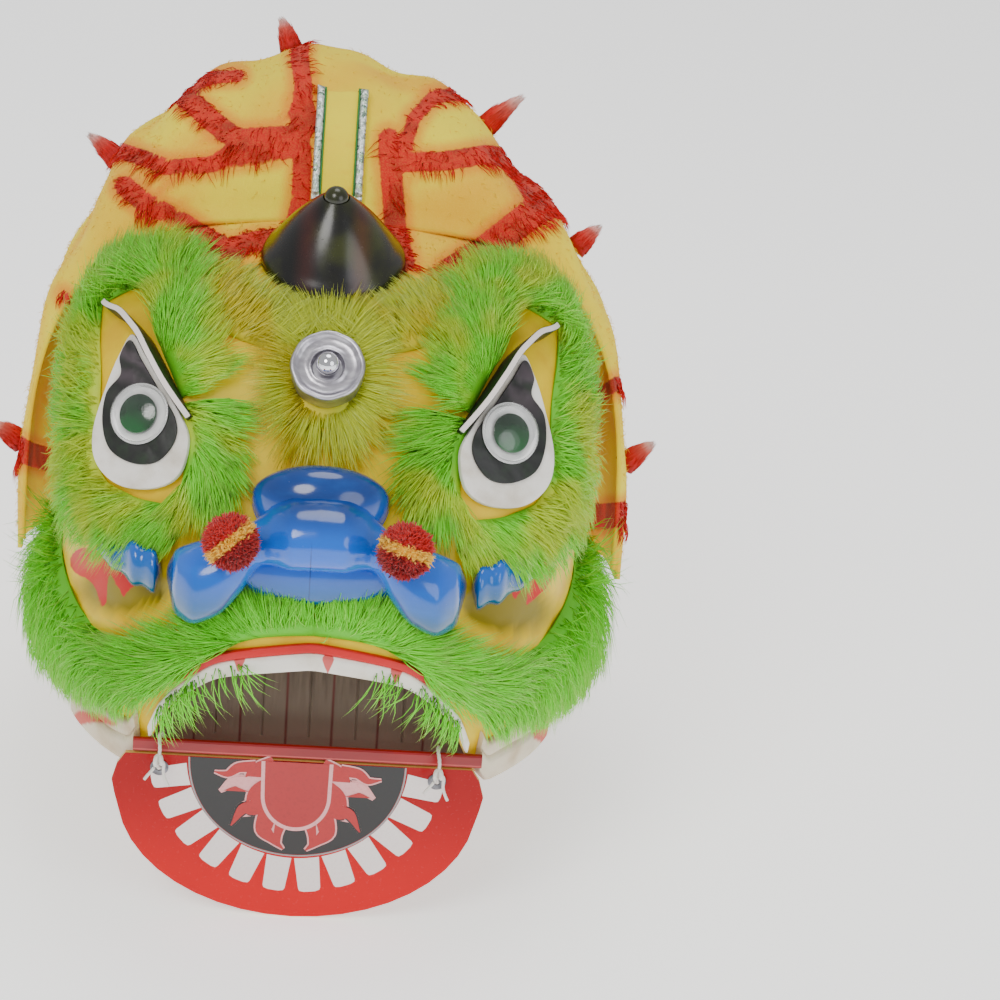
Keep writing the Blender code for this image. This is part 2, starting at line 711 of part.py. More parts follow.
def build_horn(tree, skin):
    """The horn: a squat turned cone with swollen sides and a knob."""
    center = shell_point(np.array(0.0), np.array(HORN_DOWN))
    normal = skin_normal(tree, center)
    frame = seated_frame(skin, center, normal, (0, 1, 0), HORN_RADIUS, SEAT_GAP)
    cone = [(HORN_RADIUS * r, HORN_HEIGHT * h) for r, h in HORN_PROFILE]
    low = HORN_HEIGHT - HORN_KNOB
    knob = [(HORN_KNOB * math.cos(a), low + HORN_KNOB * math.sin(a)) for a in (0.8, 0.0)]
    profile = [(0.0, HORN_HEIGHT)] + knob + cone + [(0.0, 0.0)]
    turned("horn", profile, 20, "black_plastic", frame)


def build_mirror(tree, skin):
    """The mirror: a deep silver dish on its own axis, and the ball in it."""
    center = shell_point(np.array(0.0), np.array(MIRROR_DOWN))
    lean = math.radians(MIRROR_LEAN)
    axis = (0.0, -math.cos(lean), math.sin(lean))
    frame = seated_frame(skin, center, axis, (0, 0, 1), MIRROR_RADIUS, SEAT_GAP)
    top = MIRROR_DEPTH
    floor = top - MIRROR_DISH_DEPTH
    profile = [(0.0, floor), (MIRROR_DISH_RADIUS, floor), (MIRROR_DISH_RADIUS, top - MIRROR_RIM_DROP)]
    profile += [(MIRROR_RADIUS * r, top - MIRROR_RIM_DROP * d) for r, d in MIRROR_RIM]
    profile += [(MIRROR_RADIUS * MIRROR_BACK, 0.0), (0.0, 0.0)]
    turned("mirror_dish", profile, 16, "silver", frame)
    ball = frame @ Vector((0, 0, floor + GAP + MIRROR_BALL_RADIUS))
    mesh = bpy.data.meshes.new("mirror_ball")
    work = bmesh.new()
    bmesh.ops.create_uvsphere(work, u_segments=12, v_segments=8, radius=MIRROR_BALL_RADIUS)
    work.to_mesh(mesh)
    work.free()
    item = add_object("mirror_ball", mesh, "silver", 180.0)
    item.matrix_world = Matrix.Translation(ball) @ frame.to_3x3().to_4x4()
    return frame


def build_brow(side, label, tree):
    """A brow board: a thin shelf that follows a path on the mask and stands out over the eye."""
    index = np.linspace(0, len(BROW_PATH) - 1, BROW_STATIONS)
    numbered = np.column_stack([np.arange(len(BROW_PATH)), np.array(BROW_PATH, float)])
    turn, down, depth = (smooth_rows(index, numbered, c) for c in range(1, 4))
    centers = shell_point(side * turn, down)
    rings = []
    for k, center in enumerate(centers):
        place, normal, _, _ = tree.find_nearest(Vector(center))
        ahead, behind = centers[min(k + 1, len(centers) - 1)], centers[max(k - 1, 0)]
        across = Vector(ahead - behind).cross(normal).normalized() * (BROW_THICK / 2)
        inner = place + normal * SKIN_GAP
        outer = inner + normal * (BROW_DEPTH * depth[k])
        rings.append([tuple(p) for p in (inner - across, inner + across, outer + across, outer - across)])
    add_object(f"brow_board_{label}", lofted("brow", rings), "black_board", 50.0)


def eye_outline(table, side):
    return [(side * out * EYE_HALF_WIDTH, up * EYE_HALF_HEIGHT) for out, up in table]


def disc_profile(radius, low, thick):
    """A flat disc's profile, from its top middle round to its bottom middle."""
    return [(0.0, low + thick), (radius, low + thick), (radius, low), (0.0, low)]


def quarter_arc(radius, low, height):
    """A dome's profile from its top down: a quarter of an ellipse in two steps."""
    turns = (math.pi / 2, math.pi / 4, 0.0)
    return [(radius * math.cos(a), low + height * math.sin(a)) for a in turns]


def build_eye(side, label, tree, skin):
    """An eye: foam plate, vinyl patch, then a white disc and a pupil under a clear dome."""
    center = shell_point(np.array(side * EYE_TURN), np.array(EYE_DOWN))
    beside = shell_point(np.array(side * EYE_TURN + 2.0), np.array(EYE_DOWN))
    below = shell_point(np.array(side * EYE_TURN), np.array(EYE_DOWN + 0.0005))
    normal = np.cross(beside - center, below - center)
    normal = -normal if normal[1] > 0 else normal
    frame = seated_frame(skin, center, normal, (0, 0, 1), EYE_HALF_HEIGHT, SEAT_GAP)
    plate(f"eye_plate_{label}", [eye_outline(PLATE_OUTLINE, side)], EYE_PLATE_THICK, "white_foam",
          frame @ Matrix.Translation((0, 0, EYE_PLATE_THICK / 2)))
    patch_low = EYE_PLATE_THICK + GAP
    plate(f"eye_patch_{label}", [eye_outline(PATCH_OUTLINE, side)], EYE_PATCH_THICK, "black_vinyl",
          frame @ Matrix.Translation((0, 0, patch_low + EYE_PATCH_THICK / 2)))
    disc_low = patch_low + EYE_PATCH_THICK + GAP
    spot = Vector((side * GOOGLY_OUT * EYE_HALF_WIDTH, GOOGLY_UP * EYE_HALF_HEIGHT, disc_low))
    place = frame @ Matrix.Translation(spot)
    turned(f"googly_disc_{label}", disc_profile(GOOGLY_RADIUS, 0.0, GOOGLY_DISC), 16, "white_foam", place)
    pupil_low = GOOGLY_DISC + GAP
    pupil = disc_profile(PUPIL_RADIUS, pupil_low, PUPIL_THICK)
    turned(f"googly_pupil_{label}", pupil, 14, "dark_green", place)
    outer = quarter_arc(GOOGLY_RADIUS, pupil_low, GOOGLY_HEIGHT)
    inner = quarter_arc(GOOGLY_RADIUS - GOOGLY_WALL, pupil_low, GOOGLY_HEIGHT - GOOGLY_WALL)
    turned(f"googly_dome_{label}", outer + inner[::-1], 16, "clear_dome", place)


def front_of_shell(tree, x, z):
    """How far forward the mask's skin lies behind a point of the front view."""
    hit = tree.ray_cast(Vector((x, -2 * SHELL_FRONT, z)), Vector((0, 1, 0)))[0]
    return -hit.y


def blob_ring(tree, x, z, half_height, depth, seat, gap):
    """A section of a moulded bulge on the mask: an ellipse whose back follows the skin."""
    ring = []
    middle = front_of_shell(tree, x, z) + seat * depth
    for k in range(NOSE_SIDES):
        a = 2 * math.pi * k / NOSE_SIDES
        up = z + half_height * math.sin(a)
        out = middle + depth * math.cos(a)
        least = front_of_shell(tree, x, up) + gap + BLOB_EDGE * max(0.0, math.cos(a))
        ring.append((x, -max(out, least), up))
    return ring


def blob(name, stations, tree, seat=0.8, gap=SKIN_GAP):
    """A moulded bulge: sections across the face, from rows of across, height, half height and depth."""
    return lofted(name, [blob_ring(tree, x, z, h, d, seat, gap) for x, z, h, d in stations])


def build_nose(tree):
    """The nose: a ball between two lobes and the bridge above, fused into one moulding."""
    end = NOSE_SECTIONS[-1][0]
    across = np.linspace(-end, end, NOSE_STATIONS)
    drop, height, depth = (smooth_rows(np.abs(across), NOSE_SECTIONS, c) for c in (1, 2, 3))
    stations = [(NOSE_HALF_WIDTH * a, -NOSE_TOP - NOSE_HEIGHT * d, NOSE_HEIGHT * h, NOSE_DEPTH * p)
                for a, d, h, p in zip(across, drop, height, depth)]
    nose = add_object("nose", blob("nose", stations, tree), "blue_plastic", 180.0)
    rows = []
    for a in np.linspace(-0.96, 0.96, BRIDGE_STATIONS):
        round_off = math.sqrt(1 - a * a)
        rows.append((BRIDGE_HALF_WIDTH * a, -NOSE_TOP + BRIDGE_RISE,
                     BRIDGE_HALF_HEIGHT * round_off, BRIDGE_DEPTH * round_off))
    bridge = bpy.data.objects.new("bridge_form", blob("bridge_form", rows, tree, 0.5, 2 * SKIN_GAP))
    forms.objects.link(bridge)
    bridge.hide_render = True
    bridge.display_type = "WIRE"
    join = nose.modifiers.new("bridge", "BOOLEAN")
    join.operation = "UNION"
    join.solver = "EXACT"
    join.object = bridge
    return nose


def build_scroll(side, label, tree):
    """The small scroll that runs out from the nose lobe: a tapering bulge."""
    start = NOSE_HALF_WIDTH + SCROLL_GAP
    drop = NOSE_TOP + NOSE_HEIGHT * SCROLL_DROP
    stations = [(side * (start + SCROLL_LENGTH * s), -drop - SCROLL_SLOPE * SCROLL_LENGTH * s,
                 SCROLL_HEIGHT * w, SCROLL_DEPTH * w) for s, w in SCROLL_SECTIONS]
    add_object(f"nose_scroll_{label}", blob("scroll", stations, tree, 0.6), "blue_plastic", 180.0)


def build_pompom(side, label, nose_tree):
    """A clipped yarn ball that rests on the nose: it slides back along the view until it touches."""
    center = Vector((side * POMPOM_ACROSS, -SHELL_FRONT - NOSE_DEPTH - 2 * POMPOM_RADIUS, -POMPOM_DROP))
    lean = math.radians(POMPOM_SLOPE)
    slope = Vector((0, math.cos(lean), -math.sin(lean)))
    for _ in range(60):
        center += slope * (nose_tree.find_nearest(center)[3] - POMPOM_RADIUS - SEAT_GAP)
    touch = nose_tree.find_nearest(center)[0] - center
    mesh = bpy.data.meshes.new("pompom")
    work = bmesh.new()
    bmesh.ops.create_icosphere(work, subdivisions=2, radius=POMPOM_RADIUS)
    work.to_mesh(mesh)
    work.free()
    item = add_object(f"pompom_{label}", mesh, "red_yarn", 180.0)
    item.matrix_world = Matrix.Translation(center) @ touch.to_track_quat("Z", "Y").to_matrix().to_4x4()


def rim_strip(name, turns, low, high, thick, finish, tree):
    """A strip on the mask above the rim: its lower and upper edges are heights above the rim."""
    rings = []
    for turn in turns:
        rim = float(rim_down(turn))
        downs = [rim - height(turn) / SHELL_HEIGHT for height in (low, high)]
        edges = [shell_point(np.array(turn), np.array(down)) for down in downs]
        spots = [edges[0], edges[1], edges[1], edges[0]]
        rings.append(on_skin(tree, spots, [SKIN_GAP, SKIN_GAP, SKIN_GAP + thick, SKIN_GAP + thick]))
    return add_object(name, lofted(name, rings), finish, 40.0)


def build_upper_lip(tree):
    """The white teeth band round the mouth arch, the red gum strip over it, and the foam corners."""
    turns = turns_between(-LIP_TURN, LIP_TURN)
    rim_strip("upper_teeth", turns, lambda t: 0.0005, lambda t: TEETH_HEIGHT, LIP_THICK, "white_board", tree)
    low = TEETH_HEIGHT + GAP * 2
    turns = turns_between(-GUM_TURN, GUM_TURN)
    rim_strip("gum_strip", turns, lambda t: low, lambda t: low + GUM_HEIGHT, LIP_THICK, "red_board", tree)
    for side, label in ((-1, "left"), (1, "right")):
        rim_strip(f"lip_corner_{label}", side * turns_between(*CORNER_TURNS), lambda t: 0.0008,
                  lambda t: CORNER_HEIGHT, CORNER_THICK, "white_foam", tree)


def build_screen(shell_tree):
    """The card behind the mouth: a flat panel with creased seams, between the mask's side walls."""
    level = -(SCREEN_TOP + SCREEN_BOTTOM) / 2
    levels = np.linspace(-SCREEN_TOP, -SCREEN_BOTTOM, 31)
    sight = Vector((1, 0, 0))
    wide = min(shell_tree.ray_cast(Vector((0, -SCREEN_FRONT, z)), sight)[0].x for z in levels) - SEAT_GAP
    outline = [(-wide, 0.0), (-wide, SCREEN_THICK), (wide, SCREEN_THICK), (wide, 0.0)]
    for x in np.linspace(wide, -wide, SCREEN_PANELS + 1)[1:-1]:
        outline += [(x + SCREEN_SEAM, 0.0), (x, SCREEN_SEAM), (x - SCREEN_SEAM, 0.0)]
    place = Matrix.Translation((0, -SCREEN_FRONT, level))
    return plate("mouth_card", [outline], SCREEN_BOTTOM - SCREEN_TOP, "brown_card", place)


def bar_front(shell_tree, corner_tree):
    """Where the bar lies: its back just clears the mask and the foam corners that it is fixed to."""
    reach = []
    for tree, gap in ((shell_tree, SKIN_GAP), (corner_tree, SEAT_GAP)):
        for z in (-BAR_DROP + BAR_HEIGHT / 2, -BAR_DROP - BAR_HEIGHT / 2):
            for x in np.linspace(0.8 * BAR_HALF_LENGTH, BAR_HALF_LENGTH, 12):
                spot = tree.ray_cast(Vector((x, -2 * SHELL_FRONT, z)), Vector((0, 1, 0)))[0]
                reach += [gap - spot.y] if spot else []
    return max(reach) + BAR_THICK / 2


def build_bar(front):
    """The lower lip bar: a flat rod with rounded edges, and the jaw's hinge."""
    y, z = BAR_THICK / 2, BAR_HEIGHT / 2
    bend = ((0.0, BAR_EDGE), (0.4 * BAR_EDGE, 0.35 * BAR_EDGE))
    top = [(y - a, z - b) for a, b in bend] + [(0.0, z)] + [(-y + a, z - b) for a, b in bend[::-1]]
    outline = top + [(-a, -b) for a, b in top]
    turn = Matrix(((0, 0, 1, 0), (1, 0, 0, -front), (0, 1, 0, -BAR_DROP), (0, 0, 0, 1)))
    plate("lower_lip_bar", [outline], 2 * BAR_HALF_LENGTH, "red_board", turn)


def jaw_outline():
    """The jaw board: straight top, round shoulders, and a half ellipse below them."""
    top = -BAR_HEIGHT / 2 - JAW_BELOW_BAR
    points = [(JAW_TOP_HALF_WIDTH, top)]
    points += [(JAW_HALF_WIDTH * across, top - JAW_DEPTH * down) for across, down in JAW_SHOULDER]
    shoulder = points[-1][1]
    low = top - JAW_DEPTH
    wide = JAW_HALF_WIDTH * JAW_CURVE_WIDTH
    sweep = np.linspace(JAW_CURVE_START, math.pi / 2, JAW_CURVE_POINTS)
    points += [(wide * math.cos(a), shoulder + (low - shoulder) * math.sin(a)) for a in sweep[:-1]]
    mirrored = [(-x, z) for x, z in points[::-1]]
    return [(JAW_SHIFT + x, z) for x, z in points + [(0.0, low)] + mirrored]


def circle(x, z, radius, sides):
    around = np.linspace(0, 2 * math.pi, sides + 1)[:-1]
    return [(x + radius * math.cos(a), z + radius * math.sin(a)) for a in around]


def build_jaw(front):
    """The jaw: a board with two metal eyelets, hung on the bar by two string loops."""
    hinge = bpy.data.objects.new("jaw_hinge", None)
    parts.objects.link(hinge)
    hinge.location = (0, -front, -BAR_DROP)
    bpy.context.view_layer.update()
    upright = Matrix(((1, 0, 0, 0), (0, 0, -1, -front), (0, 1, 0, -BAR_DROP), (0, 0, 0, 1)))
    eyelet_z = -BAR_HEIGHT / 2 - JAW_BELOW_BAR - EYELET_DROP
    spots = {"left": JAW_SHIFT - EYELET_ACROSS, "right": JAW_SHIFT + EYELET_ACROSS}
    holes = [circle(x, eyelet_z, EYELET_HOLE, 12) for x in spots.values()]
    made = [plate("jaw_board", [jaw_outline()] + holes, JAW_THICK, "red_board", upright)]
    half = JAW_THICK / 2 + GAP
    barrel = EYELET_HOLE - GAP * 1.5
    flange = half + EYELET_LIP
    upper = [(EYELET_BORE, flange), (EYELET_FLANGE, flange), (EYELET_FLANGE, half), (barrel, half)]
    profile = upper + [(r, -z) for r, z in upper[::-1]]
    clear = CORD_RADIUS + GAP
    loop_top = math.hypot(BAR_THICK / 2, BAR_HEIGHT / 2) + clear
    loop_radius = (loop_top - eyelet_z) / 2
    for label, across in spots.items():
        spot = upright @ Matrix.Translation((across, eyelet_z, 0))
        made.append(turned(f"eyelet_{label}", profile, 12, "grey_metal", spot))
        curve = bpy.data.curves.new(f"jaw_string_{label}", "CURVE")
        curve.dimensions = "3D"
        curve.bevel_depth = CORD_RADIUS
        curve.bevel_resolution = 1
        spline = curve.splines.new("POLY")
        ring = circle(-front, -BAR_DROP + (loop_top + eyelet_z) / 2, loop_radius, 18)
        spline.points.add(len(ring) - 1)
        for point, (y, z) in zip(spline.points, ring):
            point.co = (across, y, z, 1.0)
        spline.use_cyclic_u = True
        item = bpy.data.objects.new(f"jaw_string_{label}", curve)
        parts.objects.link(item)
        curve.materials.append(material("white_cord"))
        made.append(item)
    bpy.context.view_layer.update()
    for item in made:
        world = item.matrix_world.copy()
        item.parent = hinge
        item.matrix_parent_inverse = hinge.matrix_world.inverted()
        item.matrix_world = world


def build_furs(tree, mirror_frame):
    """Every band of green fur: brows, forehead, mirror collar, inner eyes, cheeks and lip."""
    bands = (
        ("brow_fur", BROW_FUR, BROW_FUR_HALF_WIDTH, BROW_FUR_HEIGHT),
        ("inner_fur", INNER_FUR, INNER_FUR_HALF_WIDTH, INNER_FUR_HEIGHT),
        ("forehead_fur", FOREHEAD_FUR, FOREHEAD_FUR_HALF_WIDTH, FOREHEAD_FUR_HEIGHT),
        ("cheek_fur", CHEEK_FUR, CHEEK_FUR_HALF_WIDTH, CHEEK_FUR_HEIGHT),
    )
    for side, label in ((-1, "left"), (1, "right")):
        for name, rows, half_width, height in bands:
            fur_strip(f"{name}_{label}", fur_path(rows, side), half_width, height, tree)
    inner = MIRROR_RADIUS + 2 * SKIN_GAP
    around = np.linspace(0, 2 * math.pi, 2 * COLLAR_LOCKS + 1)[:-1]
    wider = COLLAR_SIDE_GROWTH * np.cos(around) ** 4
    lower = COLLAR_LOW_GROWTH * np.maximum(0, -np.sin(around)) ** 3
    outer = COLLAR_RADIUS * (1 + wider + lower)
    middle = (inner + outer) / 2
    spots = [mirror_frame @ Vector((r * math.cos(a), r * math.sin(a), 0)) for r, a in zip(middle, around)]
    path = {"points": on_skin(tree, spots, np.zeros(len(spots))), "width": (outer - inner) / 2}
    path["height"] = np.ones(len(spots))
    fur_strip("mirror_fur", path, 1.0, COLLAR_HEIGHT, tree, loop=True)
    columns = [t for t in shell_turns() if abs(t) < LIP_FUR[0][0]]
    turns = np.sort(np.concatenate([columns, (np.array(columns[1:]) + columns[:-1]) / 2]))
    down, width, height = (smooth_rows(np.abs(turns), LIP_FUR[::-1], c) for c in (1, 2, 3))
    lip = {"points": shell_point(turns, down), "width": width, "height": height}
    fur_strip("lip_fur", lip, LIP_FUR_HALF_WIDTH, LIP_FUR_HEIGHT, tree)


def tree_of(item):
    """A search tree over a part's evaluated mesh, in world space."""
    bpy.context.view_layer.update()
    graph = bpy.context.evaluated_depsgraph_get()
    mesh = item.evaluated_get(graph).to_mesh()
    points = [item.matrix_world @ v.co for v in mesh.vertices]
    faces = [tuple(p.vertices) for p in mesh.polygons]
    return BVHTree.FromPolygons(points, faces)


clear_scene()
parts = make_collection(COLLECTION)
forms = make_collection("forms")
shell, shell_skin, shell_faces = build_shell()
shell_tree = BVHTree.FromPolygons([Vector(p) for p in shell_skin], shell_faces)
hood, hood_skin, hood_faces = build_hood()
hood_tree = BVHTree.FromPolygons([Vector(p) for p in hood_skin], hood_faces)
build_points(hood_tree, hood_skin)
build_crest(hood_tree)
build_horn(shell_tree, shell_skin)
mirror_place = build_mirror(shell_tree, shell_skin)
nose_part = build_nose(shell_tree)
nose_tree = tree_of(nose_part)
for hand, word in ((-1, "left"), (1, "right")):
    build_brow(hand, word, shell_tree)
    build_eye(hand, word, shell_tree, shell_skin)
    build_scroll(hand, word, shell_tree)
    build_pompom(hand, word, nose_tree)
build_upper_lip(shell_tree)
build_screen(tree_of(shell))
jaw_front = bar_front(shell_tree, tree_of(bpy.data.objects["lip_corner_right"]))
build_bar(jaw_front)
build_jaw(jaw_front)
build_furs(shell_tree, mirror_place)
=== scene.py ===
"""A child's lion dance head, dressed: a painted mask, combed green fur, a plush hood and a printed jaw.

Metres, +Z up, and the face looks along -Y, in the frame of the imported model. A place on the mask is
given by its turn from the front, in degrees, and by how far down from the crown it lies, as a share
of the mask's height. Tables of marks are in millimetres as seen from in front, 23 degrees above.
"""

import math

import bpy
import numpy as np
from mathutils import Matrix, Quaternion, Vector


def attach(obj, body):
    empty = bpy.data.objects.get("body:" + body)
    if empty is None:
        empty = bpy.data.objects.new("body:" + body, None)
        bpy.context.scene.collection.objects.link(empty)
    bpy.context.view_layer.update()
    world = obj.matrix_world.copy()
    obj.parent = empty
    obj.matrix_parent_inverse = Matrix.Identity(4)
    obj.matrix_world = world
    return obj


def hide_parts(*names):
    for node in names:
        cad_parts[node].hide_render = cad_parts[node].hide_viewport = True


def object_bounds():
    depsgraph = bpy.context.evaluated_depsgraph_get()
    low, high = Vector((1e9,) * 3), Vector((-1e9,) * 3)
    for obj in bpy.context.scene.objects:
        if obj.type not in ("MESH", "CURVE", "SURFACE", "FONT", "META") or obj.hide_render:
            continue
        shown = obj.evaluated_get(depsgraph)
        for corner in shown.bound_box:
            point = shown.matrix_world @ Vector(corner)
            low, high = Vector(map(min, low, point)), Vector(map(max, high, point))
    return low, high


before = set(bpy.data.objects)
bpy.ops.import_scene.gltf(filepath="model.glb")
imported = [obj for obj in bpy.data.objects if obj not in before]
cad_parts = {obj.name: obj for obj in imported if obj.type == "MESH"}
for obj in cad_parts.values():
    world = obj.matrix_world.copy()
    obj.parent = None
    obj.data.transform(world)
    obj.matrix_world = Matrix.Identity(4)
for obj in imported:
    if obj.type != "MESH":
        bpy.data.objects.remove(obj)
cad_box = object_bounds()
chance = np.random.default_rng(11)
DOWN = np.array([0.0, 0.0, -1.0])
AXES = np.eye(3)
RISE = np.array([0.0, 0.39, 0.92])
CAMERA_PLACE = (0.0, -1.2017, 0.4265)
CAMERA_LEAN = 23
CAMERA_ROLL = 3
SEEN_AWAY = 1300
POMPOM_RADIUS = 0.0136

# The mask, as the part has it
MASK_HEIGHT = 0.240
MASK_HALF_WIDTH = 0.131
MASK_FRONT = 0.163
MASK_BACK = 0.101
MASK_WALL = 0.0025
SECTIONS = np.array((
    (0.000, 0.000, 0.00, 0.000, 2.0),
    (0.0125, 0.166, 0.30, 0.300, 2.0),
    (0.042, 0.337, 0.55, 0.590, 2.3),
    (0.092, 0.497, 0.74, 0.780, 2.8),
    (0.154, 0.600, 0.86, 0.880, 3.0),
    (0.246, 0.693, 0.94, 0.940, 3.1),
    (0.329, 0.780, 0.98, 0.965, 3.1),
    (0.433, 0.877, 1.00, 0.980, 3.0),
    (0.558, 0.950, 1.00, 0.990, 2.8),
    (0.683, 1.000, 1.00, 1.000, 2.6),
    (0.808, 0.988, 1.00, 1.000, 2.5),
    (0.933, 0.950, 0.99, 0.990, 2.4),
    (1.000, 0.926, 0.98, 0.985, 2.4),
))
RIM = ((0, 0.679), (13, 0.712), (19, 0.752), (27, 0.835), (33, 0.940), (38, 1.0), (55, 1.0), (90, 0.93),
       (130, 0.82), (180, 0.74))

# The hood, as the part has it
HOOD_HEM_DROP = 0.2065
HOOD_HALF_WIDTH = 0.160
HOOD_RISE = 1.3650
HOOD_HEIGHT = (HOOD_HEM_DROP + 0.0042) * HOOD_RISE
ARCHES = (
    (90, -0.002, 1 / HOOD_RISE, 0.972, 3.4, 0.0),
    (94, -0.002, 0.815, 0.985, 3.1, 0.3),
    (101, 0.000, 0.915, 0.994, 2.7, 0.8),
    (108, 0.003, 0.975, 1.000, 2.5, 1.0),
    (115, 0.008, 1.000, 1.000, 2.4, 1.0),
    (123, 0.018, 0.925, 1.000, 2.4, 1.0),
    (132, 0.031, 0.790, 0.996, 2.4, 1.0),
    (143, 0.044, 0.640, 0.985, 2.4, 1.0),
    (155, 0.052, 0.515, 0.970, 2.4, 1.0),
    (167, 0.056, 0.435, 0.955, 2.4, 1.0),
    (180, 0.058, 0.395, 0.945, 2.4, 0.8),
)

# Red plush bands of the hood: the half width, then the line that the band follows
HOOD_BANDS = (
    (4.2, (-115, 112), (-108, 110), (-98, 107.5), (-87, 103.5), (-66, 106), (-56, 109), (-39, 112), (-22, 116)),
    (5.6, (-84, 143), (-73, 135), (-66, 129), (-52.5, 119.5), (-39, 121), (-22, 123)),
    (3.2, (-77, 146), (-65, 150.5), (-53, 152)),
    (4.8, (-22, 138), (-18.5, 116), (-18, 91), (-22, 72), (-30, 66)),
    (5.2, (-108, 93), (-96.5, 84.5), (-81, 78), (-67, 70), (-54, 64), (-42, 68), (-30, 70.5)),
    (4.6, (-22, 184), (-22.5, 163), (-20, 150), (-19, 139), (-15, 131)),
    (3.4, (74, 150), (55, 148), (46, 146), (42, 141), (37, 135), (35, 126), (31, 116)),
    (5.0, (25, 112), (53, 114), (74, 118.5), (84, 118), (92, 110.5), (98.5, 101)),
    (5.6, (25, 124), (27, 108), (29, 92), (31, 76), (36, 62)),
    (7.5, (117, 100), (101, 91), (88, 80), (76, 69.5), (60, 58)),
    (6.0, (-163, -38), (-149, -45.5), (-133, -49), (-108, -50)),
    (6.5, (175, -46), (157, -60), (142, -62), (115, -58)),
    (2.6, (-136, 36), (-125, 25), (-118, 20)),
    (3.4, (147, 6), (139, -0.5), (128, 4)),
    (6.0, (-98, -12), (-70, -2), (-40, -18), (-8, -6), (26, -16), (60, 0), (96, -10)),
    (6.0, (-84, -78), (-52, -64), (-20, -80), (12, -68), (44, -82), (82, -66)),
    (5.0, (-70, 40), (-40, 30), (-6, 40), (30, 28), (66, 42)),
)

# Red flames painted on the cheeks, each with a half width at either end of its line
CHEEK_FLAMES = (
    ((7.5, 1.0), ((-118, -99), (-114, -108), (-110.5, -122))),
    ((6.5, 1.0), ((-106, -97), (-103, -106), (-100, -116))),
    ((5.0, 1.0), ((-95, -99), (-95.5, -106), (-96, -113))),
    ((5.0, 0.8), ((104, -90), (106, -100), (104, -108))),
    ((6.0, 0.8), ((115, -88), (115, -98), (112, -110))),
)
BLUSHES = (((9.0, 9.0), ((-51, 24), (-45, 27))), ((9.0, 9.0), ((45, 31), (51, 29))))
CORNER_SMUDGES = (
    ((3.2, 0.6), ((-116, -178), (-108, -177), (-99, -180))),
    ((1.0, 5.5), ((121, -151), (120, -160), (119, -172))),
)

# Fur bands on one side: turn, share down, then in millimetres the half width, height and hair length,
# and how far the hairs lean away from the band's middle, and off the mask
BROW = (
    (80, 0.150, 9, 8, 22, 0.4, 0.6),
    (74, 0.110, 11, 10, 24, 0.5, 0.7),
    (66, 0.078, 12, 13, 25, 0.5, 0.7),
    (56, 0.070, 13, 15, 24, 0.4, 0.7),
    (46, 0.072, 13, 14, 23, 0.4, 0.7),
    (37, 0.092, 12, 13, 22, 0.4, 0.7),
    (30, 0.128, 12, 12, 22, 0.5, 0.6),
    (24, 0.165, 11, 11, 22, 0.5, 0.6),
    (19, 0.205, 11, 10, 22, 0.5, 0.5),
)
INNER = (
    (18, 0.230, 12, 8, 22, 0.3, 0.5),
    (15.5, 0.290, 12, 9, 23, 0.3, 0.5),
    (15, 0.345, 12, 9, 23, 0.3, 0.5),
    (17, 0.405, 11, 8, 22, 0.3, 0.4),
)
FOREHEAD = (
    (40, 0.072, 12, 11, 21, 0.4, 0.6),
    (28, 0.080, 13, 12, 21, 0.4, 0.6),
    (18, 0.090, 13, 11, 20, 0.4, 0.6),
    (9, 0.104, 11, 8, 19, 0.4, 0.5),
    (0, 0.110, 9, 7, 18, 0.4, 0.5),
)
CHEEK = (
    (84, 0.165, 11, 10, 20, 0.2, 0.5),
    (74, 0.215, 17, 12, 22, 0.2, 0.5),
    (65, 0.290, 20, 13, 23, 0.2, 0.5),
    (60, 0.370, 18, 13, 24, 0.3, 0.5),
    (54, 0.425, 13, 12, 25, 0.3, 0.5),
    (45, 0.450, 12, 11, 25, 0.3, 0.5),
    (36, 0.450, 11, 10, 24, 0.3, 0.5),
    (27, 0.440, 9, 8, 22, 0.3, 0.4),
    (21, 0.430, 7, 4, 20, 0.3, 0.4),
)
LIP = (
    (103, 0.790, 10, 12, 28, 0.4, 0.7),
    (94, 0.785, 17, 19, 33, 0.4, 0.7),
    (84, 0.780, 23, 23, 37, 0.4, 0.6),
    (74, 0.775, 24, 23, 38, 0.4, 0.6),
    (64, 0.768, 20, 20, 37, 0.4, 0.5),
    (54, 0.765, 15, 17, 35, 0.4, 0.5),
    (44, 0.758, 12, 14, 33, 0.5, 0.5),
    (35, 0.742, 11, 12, 31, 0.5, 0.5),
    (28, 0.712, 10, 11, 29, 0.5, 0.5),
    (20, 0.664, 8, 10, 27, 0.6, 0.6),
    (13, 0.618, 8, 10, 25, 0.7, 0.6),
    (6, 0.590, 8, 10, 25, 0.7, 0.6),
    (0, 0.580, 8, 10, 24, 0.7, 0.6),
)
